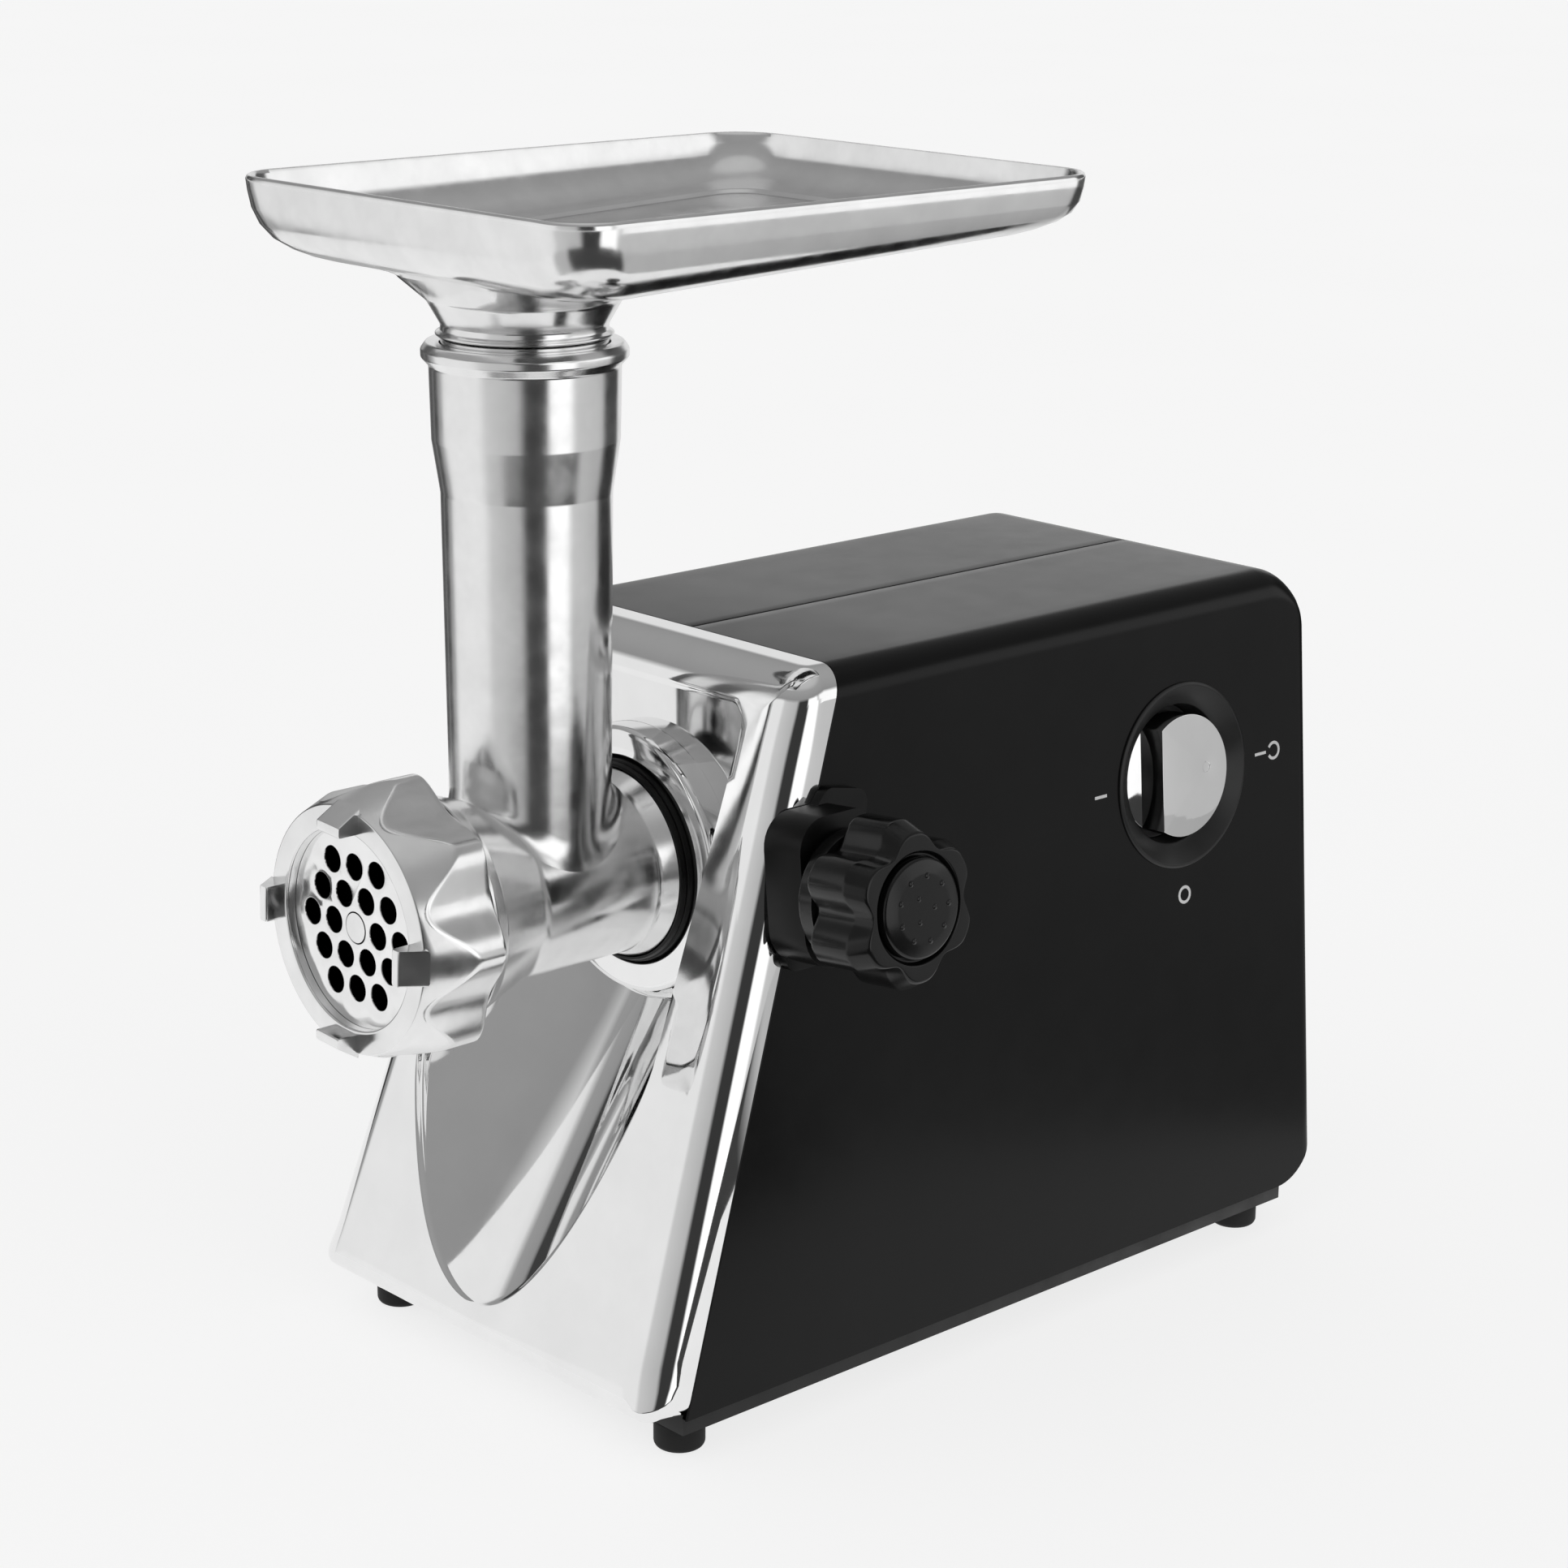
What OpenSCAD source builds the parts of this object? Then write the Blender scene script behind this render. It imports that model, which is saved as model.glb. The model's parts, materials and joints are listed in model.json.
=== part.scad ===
// Electric meat grinder: a motor and gearbox in a two-part housing, a removable grinding head and a tray.
// Millimetres. +Z up, the grinding head points along -Y, the switch and the lock knob are on the +X side.
// The origin is on the ground, at the middle of the machine's bounding box.

/* [Housing] */
// Width of the housing across its bottom edge
housing_w = 150; // [146:1:156]
// Width of the housing across its top
housing_top_w = 121.4; // [118:1:126]
// Height of the housing's bottom edge above the ground
housing_z = 14; // [13:1:16]
// Height of the housing's top
housing_top = 204.5; // [203:0.5:212]
// Length of the housing along its bottom edge, to the seam with the bezel
housing_l = 258; // [256:1:262]
// Lean of the front, from upright
front_lean = 19.4; // [19:0.1:19.8]
// Thickness of the housing's wall
wall = 2.6; // [2:0.1:3]
// Radius of the long edges along the top
edge_r = 9; // [5:0.5:12]
// Radius of the rear corners, seen from the side
rear_r = 17; // [10:1:22]

/* [Front bezel] */
// Depth of the bezel, ahead of the seam
bezel_d = 13.75; // [12:0.25:15]
// Thickness of the bezel's skin
bezel_wall = 1.6; // [1.2:0.1:2]
// Radius of the channel scooped out of the bezel
scoop_r = 60; // [54:1:64]

/* [Grinding head] */
// Height of the head's axis above the ground
head_z = 142.5; // [142:0.5:143]
// Outer radius of the barrel
barrel_r = 24.4; // [24.2:0.1:25]
// Radius of the feed screw over its flight
screw_r = 21.5; // [20.5:0.1:21.7]
// Pitch of the flight at the feed end
flight_pitch = 26; // [22:1:30]
// Diameter of the cutting plate
plate_d = 62; // [61.6:0.1:62.2]
// Distance between neighbouring holes in the cutting plate
plate_pitch = 9.53; // [9:0.1:10]
// Diameter of the holes in the cutting plate
plate_hole_d = 7.1; // [6:0.1:7.6]
// Number of blades on the knife
blades = 4; // [4:1:5]
// Radius of the opening in the ring nut
outlet_r = 26.8; // [26.5:0.1:28]

/* [Feed tube and tray] */
// Radius of the bore that the meat drops through
throat_r = 19.8; // [18.5:0.1:20]
// Height of the top of the feed tube
tube_top = 289.5; // [286:0.5:292]
// Width of the tray over its rim
tray_w = 156; // [152:1:160]
// Length of the tray over its rim
tray_l = 196.5; // [193:0.5:200]
// Height of the tray's rim above the ground
rim_z = 329; // [327:1:332]
// Thickness of the tray's sheet
sheet = 1.4; // [1:0.1:1.8]

/* [Lock knob] */
// Largest radius of the knob, over its lobes
lock_knob_r = 22.5; // [21:0.5:24]
// Number of lobes on the knob
lobes = 6; // [6:2:8]
// Distance from the head's axis to the face of the knob's cap
lock_reach = 111; // [110:0.5:113]

/* [Switch] */
// Radius of the dish around the switch knob
dish_r = 27.5; // [26:0.5:29]
// Radius of the switch knob
switch_knob_r = 18; // [17:0.5:18.5]

/* [Drive] */
// Teeth on every pinion
pinion_teeth = 12; // [12:1:12]
// Teeth on the gear that the motor turns
first_teeth = 48; // [48:1:48]
// Teeth on the second gear
second_teeth = 45; // [45:1:45]
// Teeth on the output gear
output_teeth = 42; // [42:1:42]
// Backlash, along the pitch circle
backlash = 0.16; // [0.12:0.02:0.24]

/* [Hidden] */
$fn = 64;
eps = 0.02;
gap = 0.3;
far = 400;

// housing
half_bottom = housing_w / 2;
half_top = housing_top_w / 2;
wall_tilt = atan((half_bottom - half_top) / (housing_top - housing_z));
seam_gap = 0.3;
foot_h = 8;
foot_r = 7;
foot_x = 62;
foot_y = [-249, -22];
base_z = foot_h;
base_inset = 3.5;
vent_n = 11;
vent_w = 3;
vent_pitch = 8;

// head, along Y
flange_r = 26.6;
flange_front = -218;
flange_rear = -203;
spigot_r = 25.8;
spigot_end = -199;
barrel_front = -284.5;
thread_r = 33.2;
thread_front = -304.5;
plate_t = 5;
plate_front = -306;
plate_rear = plate_front + plate_t;
knife_t = 6;
knife_rear = plate_rear + knife_t + gap;
head_end = -309;
nut_rear = -286;
nut_r = 36.2;
ridge_r = 38.3;
ridges = 8;
tab_w = 9.6;
tab_front = -315;
tab_root_r = 33.9;
tab_tip_r = 30.2;
tab_angles = [-3, 87, 177, 267];
bore_r = screw_r + 0.5;
bore_rear = -210;
knife_room_r = 25.5;
bush_r = 11;
shank_r = 8;
tang_af = 10;
tang_end = -190;

// feed tube, along Z
tube_y = -247.7;
tube_r = 22;
tube_neck_z = 252;
tube_mouth_z = 262;
tube_mouth_r = 24.6;
tube_bead_r = 27;
tube_bore_r = 22.1;
tube_ledge_z = 262;

// tray
tray_front = -296.5;
tray_corner_r = 26;
tray_floor_front = rim_z - 23;
tray_floor_rear = rim_z - 16;
tray_neck_r = 21.8;
tray_funnel_r = 36;

// socket that holds the head
ring_r = 29.3;
ring_outer = ring_r - 0.1;
ring_front = -214;
collar_r = 37.5;
scoop_tip_z = 23.2;
scoop_half = 44;
scoop_x = -4;
scoop_foot = [-212, 104.5];
scoop_rear = -207.6;
lock_boss_r = 6.5;
collar_front = -215.5;
boss_front = -207;
boss_r = 37;

// gear train: centres as [x, z]
gearbox_front = -197;
gearbox_rear = -147;
gearbox_wall = 3;
cover_t = 4;
output_c = [0, head_z];
second_c = output_c + [-30, -44.9];
first_c = second_c + [34, -10.55];
motor_c = first_c + [-4, -29.73];
output_m = 2;
second_m = 1.25;
first_m = 1;
pressure = 25;
output_gear_y = [-186, -174];
second_gear_y = [-170, -162];
first_gear_y = [-158, -151];
pin_r = 5;
running = 0.05;
ear_r = 5;
ears = [[42.6, head_z + 29.8], [-42.6, head_z + 29.8], [36, 84], [-59, 79], [16, 46]];

// motor, along Y
shaft_r = 4;
stator_y = [-118, -78];
stator_w = 68;
stator_h = 60;
rotor_r = 19.7;
commutator_r = 11;
post = [28, 22];
commutator_y = [-66, -54];
fan_y = [-131, -121];
fan_r = 28.5;
bearing_r = 9.5;
rear_bracket_y = [-48, -38];

// lock
lock_y = -208;
lock_tilt = 5.7;
lock_screw_r = 3.5;
lock_hole_r = lock_screw_r + 0.6;
lock_tip = 24.8;
sleeve_outline = [[-14, -19], [11, -19], [11, 21.5], [-14, 21.5]];
sleeve_x = [66, 80];
washer_t = 1;
knob_rear = sleeve_x[1] + washer_t + 0.5;
cap_r = 13.4;
lobe_r = 6.4;
lobe_step = 360 / lobes;
valley_r = lock_knob_r - 7.5;
hollow_r = 7.2;
skirt_r = 17.5;
skirt_l = 7;

// switch
switch_y = -57.5;
switch_z = 151;
dish_d = 11;

// inlet of the supply cord, in the rear face
gland_x = -32;
gland_z = 48;
cord_r = 3.7;

// place of the machine's middle plane and rear face in the part's frame
rear_reach = 6;
cap_face = lock_reach - 0.4;
knob_face = lock_reach - 2.5;
lock_x = cap_face * cos(lock_tilt) + cap_r * sin(lock_tilt);
mid_x = -(lock_x - tray_w / 2) / 2;
rear_y = -(tab_front + rear_reach) / 2;

// ---- helpers -------------------------------------------------------------------------------------

function unit(v) = v / norm(v);
function half_w(z) = half_bottom - (z - housing_z) * tan(wall_tilt);
function seam_y(z) = -housing_l + (z - housing_z) * tan(front_lean);

// Points of the arc of radius r that rounds the corner p between a and b
function corner_arc(a, p, b, r, n) =
    let (u = unit(a - p), v = unit(b - p), half = acos(u * v) / 2)
    let (c = p + unit(u + v) * r / sin(half), s = p + u * r / tan(half) - c, e = p + v * r / tan(half) - c)
    let (from = atan2(s[1], s[0]), turn = (atan2(e[1], e[0]) - from + 540) % 360 - 180)
    [for (i = [0:n]) c + r * [cos(from + turn * i / n), sin(from + turn * i / n)]];

// A polygon's points with each corner rounded to its own radius
function rounded(p, radii, n = 8) =
    let (k = len(p))
    [for (i = [0:k - 1]) each
        radii[i] > 0 ? corner_arc(p[(i + k - 1) % k], p[i], p[(i + 1) % k], radii[i], n) : [p[i]]];

// One side of an involute tooth: [radius, angle from the tooth's middle], from root to tip
function involute(a) = (tan(a) - a * PI / 180) * 180 / PI;
function flank(m, t, steps) =
    let (rp = m * t / 2, rb = rp * cos(pressure), tip = rp + 0.8 * m, root = rp - m)
    let (half = (PI * m / 2 - backlash) / (2 * rp) * 180 / PI + involute(pressure))
    let (low = max(rb, root))
    concat([[root, half]],
        [for (i = [0:steps]) let (r = low + (tip - low) * i / steps) [r, half - involute(acos(rb / r))]]);

function gear_points(m, t, steps = 3) =
    let (side = flank(m, t, steps), k = len(side))
    [for (i = [0:t - 1], j = [0:2 * k - 1])
        let (q = j < k ? side[j] : side[2 * k - 1 - j], a = 360 * i / t + (j < k ? -q[1] : q[1]))
        q[0] * [cos(a), sin(a)]];

// Moves the machine's own frame (middle plane at X 0, rear face at Y 0) to the part's frame
module at_home() {
    translate([mid_x, rear_y, 0]) children();
}

// Extrudes a shape drawn in X and Z from y0 to y1
module along_y(y0, y1) {
    translate([0, y1, 0]) rotate([90, 0, 0]) linear_extrude(y1 - y0) children();
}

// Extrudes a shape drawn in Y and Z from x0 to x1
module along_x(x0, x1) {
    translate([x0, 0, 0]) rotate([90, 0, 90]) linear_extrude(x1 - x0) children();
}

// Spins a profile of [radius, y] points about an axis along Y through [x, z]
module spin_y(c, profile) {
    translate([c[0], 0, c[1]]) rotate([-90, 0, 0]) rotate_extrude() polygon(profile);
}

module rod_y(c, r, y0, y1) {
    translate([c[0], y1, c[1]]) rotate([90, 0, 0]) cylinder(r = r, h = y1 - y0);
}

// Local frame of the lock: its X runs along the lock screw, from the head's axis outwards
module lock_frame() {
    translate([0, lock_y, head_z]) rotate([0, -lock_tilt, 0]) children();
}

module rod_x(r, x0, x1) {
    translate([x0, 0, 0]) rotate([0, 90, 0]) cylinder(r = r, h = x1 - x0);
}

// Local frame of the switch: its X is the side wall's outward normal, from the wall's surface
module switch_frame() {
    translate([half_w(switch_z), switch_y, switch_z]) rotate([0, -wall_tilt, 0]) children();
}

// ---- housing -------------------------------------------------------------------------------------

module section(inset, z0) {
    r = max(edge_r - inset, 2);
    low = half_w(z0) - inset;
    high = half_w(housing_top) - inset;
    top = housing_top - inset;
    polygon(rounded([[-low, z0], [low, z0], [high, top], [-high, top]], [0, 0, r, r]));
}

module side_profile(inset, z0, ahead) {
    r = max(rear_r - inset, 2);
    top = housing_top - inset;
    corners = [[seam_y(z0) - ahead, z0], [-inset, z0], [-inset, top], [seam_y(top) - ahead, top]];
    polygon(rounded(corners, [0, z0 < housing_z ? 0 : r, r, 0]));
}

module housing_solid(inset, z0, ahead) {
    intersection() {
        along_y(-far, 10) section(inset, z0);
        along_x(-far, far) side_profile(inset, z0, ahead);
    }
}

function boss_places() = [[-24, 186], [-24, 32], [-122, 188], [-156, 26]];

module housing_half(side) {
    half = side > 0 ? [seam_gap / 2, far] : [-far, -seam_gap / 2];
    intersection() {
        union() {
            difference() {
                housing_solid(0, housing_z, 0);
                housing_solid(wall, housing_z - 5, 20);
            }
            intersection() {
                housing_solid(0.5, housing_z, 0);
                for (p = boss_places()) translate([-far / 2, p[0], p[1]]) rod_x(5.5, 0, far);
            }
        }
        translate([half[0], -far, 0]) cube([half[1] - half[0], 2 * far, far]);
    }
}

module screw_holes(r) {
    for (p = boss_places()) translate([-far / 2, p[0], p[1]]) rod_x(r, 0, far / 2 + 20);
}

module rear_vents() {
    for (i = [0:vent_n - 1]) {
        translate([(i - (vent_n - 1) / 2) * vent_pitch - vent_w / 2, -wall - 5, 100]) cube([vent_w, 20, 52]);
    }
}

module gland_hole(r) {
    rod_y([gland_x, gland_z], r, -20, 20);
}

module housing_right() {
    color("#1b1b1c") at_home() difference() {
        housing_half(1);
        rear_vents();
        screw_holes(1.6);
        lock_frame() rod_x(lock_hole_r, 36, 90);
        switch_frame() rod_x(dish_r - 1.5, -20, 20);
    }
}

module housing_left() {
    color("#1b1b1c") at_home() difference() {
        housing_half(-1);
        rear_vents();
        screw_holes(2.2);
        for (p = boss_places()) translate([-half_w(p[1]) + 2.5, p[0], p[1]]) rod_x(4, -10, 0);
        gland_hole(8);
    }
}

module housing_screws() {
    color("silver") at_home() for (p = boss_places()) {
        translate([-half_w(p[1]) + 2.5, p[0], p[1]]) {
            rod_x(3.6, -1.8, 0);
            rod_x(1.55, -0.5, half_w(p[1]) + 12);
        }
    }
}

module base_plate() {
    x = half_w(housing_z) - base_inset;
    color("#161616") at_home() difference() {
        union() {
            translate([-x, -256, base_z]) cube([2 * x, 244, housing_z - base_z]);
            difference() {
                translate([-x, -250, base_z]) cube([2 * x, 234, housing_z + 4 - base_z]);
                translate([-x + 2.5, -247.5, housing_z]) cube([2 * x - 5, 229, far]);
            }
            for (y = [stator_y[0] + 5, stator_y[1] - 13]) translate([-22, y, housing_z - 1]) {
                cube([44, 8, motor_c[1] - stator_h / 2 - housing_z + 1]);
            }
        }
        for (x = [-1, 1], y = foot_y) translate([x * foot_x, y, 0]) cylinder(r = 2.2, h = 40);
        for (i = [0:8]) translate([-22, -225 + 12 * i, 0]) cube([44, 5, housing_z + 1]);
    }
}

module base_screws() {
    color("silver") at_home() for (x = [-1, 1], y = foot_y) translate([x * foot_x, y, 0]) {
        translate([0, 0, 3]) cylinder(r = 4, h = 2.4);
        translate([0, 0, 3]) cylinder(r = 2, h = 13);
    }
}

module feet() {
    color("#101010") at_home() for (x = [-1, 1], y = foot_y) translate([x * foot_x, y, 0]) {
        rotate_extrude() polygon([[4.2, 0], [foot_r - 1, 0], [foot_r, 1], [foot_r, foot_h],
            [2.1, foot_h], [2.1, 5.5], [4.2, 5.5]]);
    }
}

module cord_gland() {
    color("#101010") at_home() spin_y([gland_x, gland_z], [[cord_r, -7], [7.8, -7], [7.8, 0], [10.5, 0],
        [10.5, 2], [7, rear_reach], [cord_r, rear_reach]]);
}

// ---- front bezel and the socket ------------------------------------------------------------------

module bezel_profile(inset) {
    top = housing_top - inset;
    low = housing_z + inset;
    d = bezel_d - inset;
    corners = [[seam_y(low) - d, low], [seam_y(low) + inset, low], [seam_y(top) + inset, top],
        [seam_y(top) - d, top]];
    polygon(rounded(corners, [6, 0, 0, 8]));
}

module bezel_solid(inset) {
    intersection() {
        along_y(-far, 0) section(inset, housing_z + inset);
        along_x(-far, far) bezel_profile(inset);
        bevel_sides(inset);
    }
}

// Takes the bezel's front side edges off at 45 degrees
module bevel_sides(inset) {
    b = 6;
    d = bezel_d - inset;
    plan = [[-half_bottom, 0], [half_bottom, 0], [half_bottom, -d + b], [half_bottom - b, -d],
        [b - half_bottom, -d], [-half_bottom, -d + b]];
    translate([0, seam_y(housing_z), housing_z]) rotate([-front_lean, 0, 0]) {
        translate([0, 0, -30]) linear_extrude(far) polygon(plan);
    }
}

// The channel below the socket: a cylinder that leans further than the face, ending at an upright wall.
// grow makes it larger all round.
module scoop(grow) {
    tip = [seam_y(scoop_tip_z) - bezel_d, scoop_tip_z];
    lean = atan2(scoop_foot[0] - tip[0], scoop_foot[1] - tip[1]);
    translate([scoop_x, 0, 0]) intersection() {
        translate([0, tip[0], tip[1]]) rotate([-lean, 0, 0]) {
            translate([0, -scoop_r, -60]) cylinder(r = scoop_r + grow, h = 280);
        }
        translate([-scoop_half - grow, -far, 0]) {
            cube([2 * (scoop_half + grow), far + scoop_rear + grow, far]);
        }
    }
}

// Everything behind the middle of the skin on the bezel's front face
module behind_face() {
    d = bezel_d - bezel_wall / 2;
    along_x(-far, far) polygon([[seam_y(housing_z) - d, housing_z], [0, housing_z],
        [0, housing_top], [seam_y(housing_top) - d, housing_top]]);
}

module front_bezel() {
    color("#d8d8d8") at_home() difference() {
        union() {
            difference() {
                union() {
                    difference() {
                        bezel_solid(0);
                        bezel_solid(bezel_wall);
                    }
                    intersection() {
                        behind_face();
                        scoop(bezel_wall);
                    }
                }
                scoop(0);
            }
            lock_frame() rod_x(lock_boss_r, collar_r - 2, scoop_half);
        }
        rod_y(output_c, collar_r + 0.1, -far, 0);
        lock_frame() rod_x(lock_hole_r, 36, 90);
    }
}

module socket_collar() {
    color("#d8d8d8") at_home() difference() {
        spin_y(output_c, [[ring_r, collar_front], [collar_r - 2, collar_front],
            [collar_r, collar_front + 2], [collar_r, boss_front], [ring_r, boss_front]]);
        lock_frame() rod_x(lock_screw_r + 0.5, 20, 60);
    }
}

module socket_ring() {
    color("#101010") at_home() difference() {
        spin_y(output_c, [[flange_r + gap, ring_front], [ring_outer - 1, ring_front],
            [ring_outer, ring_front + 1], [ring_outer, spigot_end], [flange_r + gap, spigot_end]]);
        lock_frame() rod_x(lock_screw_r + 0.5, 20, 60);
    }
}

// ---- gearbox -------------------------------------------------------------------------------------

// A round at each of two centres with a bar between them
module link2d(p, q, rp, rq) {
    translate(p) circle(rp);
    translate(q) circle(rq);
    d = q - p;
    w = min(rp, rq) - 1;
    translate(p) rotate(atan2(d[1], d[0])) translate([0, -w]) square([norm(d), 2 * w]);
}

module gearbox_outline(grow) {
    link2d(output_c, second_c, 46 + grow, 30.5 + grow);
    link2d(second_c, first_c, 30.5 + grow, 26.5 + grow);
    link2d(first_c, motor_c, 26.5 + grow, 14 + grow);
}

module ear_outline() {
    for (p = ears) translate(p) circle(ear_r);
}

module shaft_seats(r_first, r_second) {
    for (y = [gearbox_front - 1, gearbox_rear - 1]) {
        rod_y(second_c, r_second, y, y + cover_t + 4);
        rod_y(first_c, r_first, y, y + cover_t + 4);
    }
}

module gearbox_housing() {
    color("#3a3a3d") at_home() difference() {
        union() {
            along_y(gearbox_front, gearbox_rear) {
                gearbox_outline(gearbox_wall);
                ear_outline();
            }
            rod_y(output_c, boss_r, boss_front, gearbox_front + 1);
            rod_y(output_c, 18, gearbox_front, gearbox_front + 10);
        }
        along_y(gearbox_front + 4, gearbox_rear + 1) difference() {
            gearbox_outline(0);
            translate(output_c) circle(18);
        }
        along_y(gearbox_front + 10, gearbox_rear + 1) translate(output_c) circle(20);
        rod_y(output_c, ring_r, boss_front - 1, spigot_end);
        rod_y(output_c, 16, gearbox_front - 5, gearbox_front + 20);
        shaft_seats(pin_r, pin_r);
        for (p = ears) rod_y(p, 1.6, gearbox_rear - 14, gearbox_rear + 1);
        lock_frame() rod_x(lock_screw_r + running, 20, 60);
    }
}

module gearbox_cover() {
    color("#3a3a3d") at_home() difference() {
        union() {
            along_y(gearbox_rear, gearbox_rear + cover_t) {
                gearbox_outline(gearbox_wall);
                ear_outline();
            }
            rod_y(output_c, 16, gearbox_rear - 8, gearbox_rear + cover_t);
        }
        shaft_seats(pin_r, pin_r);
        rod_y(output_c, 12, gearbox_rear - 9, gearbox_rear + cover_t - 1.5);
        rod_y(motor_c, 7.2, gearbox_rear - 1, gearbox_rear + cover_t + 1);
        for (p = ears) rod_y(p, 2.1, gearbox_rear - 1, gearbox_rear + cover_t + 1);
    }
}

module gearbox_screws() {
    color("silver") at_home() for (p = ears) {
        rod_y(p, 3.6, gearbox_rear + cover_t, gearbox_rear + cover_t + 2.4);
        rod_y(p, 1.6, gearbox_rear - 12, gearbox_rear + cover_t + 1);
    }
}

module bush(c, r_in, r_out, y0, y1) {
    spin_y(c, [[r_in, y0], [r_out, y0], [r_out, y1], [r_in, y1]]);
}

module output_bush() {
    color("#b08d57") at_home() bush(output_c, 13 + running, 16, gearbox_front + 0.5, gearbox_front + 10);
}

module rear_bush() {
    color("#b08d57") at_home() bush(output_c, 9 + running, 12, gearbox_rear - 8, gearbox_rear + 2);
}

module output_shaft() {
    color("#9a9a9a") at_home() difference() {
        spin_y(output_c, [[0, spigot_end + 1.5], [13, spigot_end + 1.5], [13, output_gear_y[0] - 1],
            [9, output_gear_y[0] - 1], [9, gearbox_rear + 2], [0, gearbox_rear + 2]]);
        along_y(spigot_end, tang_end + 2) translate(output_c) {
            circle(r = (tang_af / 2 + 0.2) / cos(30), $fn = 6);
        }
    }
}

function toward(a, b) = atan2(b[1] - a[1], b[0] - a[0]);

// A spur gear in the plane of X and Z; tooth 0 points along the given angle
module spur(c, m, t, angle, y0, y1) {
    along_y(y0, y1) translate(c) rotate(angle) polygon(gear_points(m, t));
}

module output_gear() {
    at = toward(output_c, second_c);
    color("#c9b27a") at_home() difference() {
        spur(output_c, output_m, output_teeth, at, output_gear_y[0], output_gear_y[1]);
        rod_y(output_c, 9, output_gear_y[0] - 1, output_gear_y[1] + 1);
        for (i = [0:5]) translate([output_c[0], 0, output_c[1]]) rotate([0, 60 * i, 0]) {
            rod_y([0, 26], 8, output_gear_y[0] - 1, output_gear_y[1] + 1);
        }
    }
}

module second_gear() {
    color("#e6e1d0") at_home() difference() {
        union() {
            spur(second_c, second_m, second_teeth, toward(second_c, first_c), second_gear_y[0],
                second_gear_y[1]);
            spur(second_c, output_m, pinion_teeth, toward(second_c, output_c) + 180 / pinion_teeth,
                output_gear_y[0] - 1, second_gear_y[0] + eps);
        }
        rod_y(second_c, pin_r + running, output_gear_y[0] - 2, second_gear_y[1] + 1);
    }
}

module first_gear() {
    color("#e6e1d0") at_home() difference() {
        union() {
            spur(first_c, first_m, first_teeth, toward(first_c, motor_c), first_gear_y[0], first_gear_y[1]);
            spur(first_c, second_m, pinion_teeth, toward(first_c, second_c) + 180 / pinion_teeth,
                second_gear_y[0] - 1, first_gear_y[0] + eps);
        }
        rod_y(first_c, 3 + running, second_gear_y[0] - 2, first_gear_y[1] + 1);
    }
}

module second_shaft() {
    color("#9a9a9a") at_home() rod_y(second_c, pin_r, gearbox_front + 1, gearbox_rear + cover_t - 1);
}

module first_shaft() {
    color("#9a9a9a") at_home() {
        rod_y(first_c, pin_r, gearbox_front + 1, second_gear_y[0] - 2);
        rod_y(first_c, 3, second_gear_y[0] - 2 - eps, first_gear_y[1] + 1);
        rod_y(first_c, pin_r, first_gear_y[1] + 1 - eps, gearbox_rear + cover_t - 1);
    }
}

module motor_pinion() {
    color("#9a9a9a") at_home() difference() {
        spur(motor_c, first_m, pinion_teeth, toward(motor_c, first_c) + 180 / pinion_teeth,
            first_gear_y[0] - 1, first_gear_y[1] + 1);
        rod_y(motor_c, 2.5, first_gear_y[0] - 2, first_gear_y[1] + 2);
    }
}

// ---- motor ---------------------------------------------------------------------------------------

module motor_shaft() {
    color("#b0b0b0") at_home() {
        rod_y(motor_c, 2.5, first_gear_y[0] - 2, first_gear_y[1] + 3);
        rod_y(motor_c, shaft_r, first_gear_y[1] + 3 - eps, rear_bracket_y[1] - 1);
    }
}

module rotor_core() {
    color("#8a8f94") at_home() difference() {
        rod_y(motor_c, rotor_r, stator_y[0], stator_y[1]);
        rod_y(motor_c, shaft_r, stator_y[0] - 1, stator_y[1] + 1);
        for (i = [0:11]) translate([motor_c[0], 0, motor_c[1]]) rotate([0, 30 * i, 0]) {
            translate([-1.3, stator_y[0] - 1, rotor_r - 7]) cube([2.6, stator_y[1] - stator_y[0] + 2, 12]);
        }
    }
}

module rotor_windings() {
    color("#a8561e") at_home() {
        for (y = [[stator_y[0] - 1, stator_y[0]], [stator_y[1], stator_y[1] + 8]]) {
            spin_y(motor_c, [[shaft_r, y[0]], [14, y[0]], [17, y[0] + 0.8], [17, y[1] - 0.8],
                [14, y[1]], [shaft_r, y[1]]]);
        }
    }
}

module commutator() {
    color("#b87333") at_home() difference() {
        bush(motor_c, shaft_r, commutator_r, commutator_y[0], commutator_y[1]);
        for (i = [0:23]) translate([motor_c[0], 0, motor_c[1]]) rotate([0, 15 * i, 0]) {
            translate([-0.25, commutator_y[0] - 1, commutator_r - 0.8]) cube([0.5, 14, 3]);
        }
    }
}

module cooling_fan() {
    color("#2b2b2b") at_home() {
        bush(motor_c, shaft_r, 9, fan_y[0], fan_y[1]);
        bush(motor_c, 8.5, fan_r, fan_y[0], fan_y[0] + 1.6);
        for (i = [0:8]) translate([motor_c[0], 0, motor_c[1]]) rotate([0, 40 * i, 0]) {
            translate([-0.8, fan_y[0] + 1, 8.5]) cube([1.6, fan_y[1] - fan_y[0] - 1, fan_r - 9]);
        }
    }
}

// A sector of a ring around the motor's axis, centred on +X or -X
module coil_sector(side, grow) {
    translate(motor_c) rotate(side > 0 ? 0 : 180) intersection() {
        difference() {
            circle(29 + grow);
            circle(20.6 - grow);
        }
        polygon([[0, 0], [60, -45 - 2 * grow], [60, 45 + 2 * grow]]);
    }
}

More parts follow.
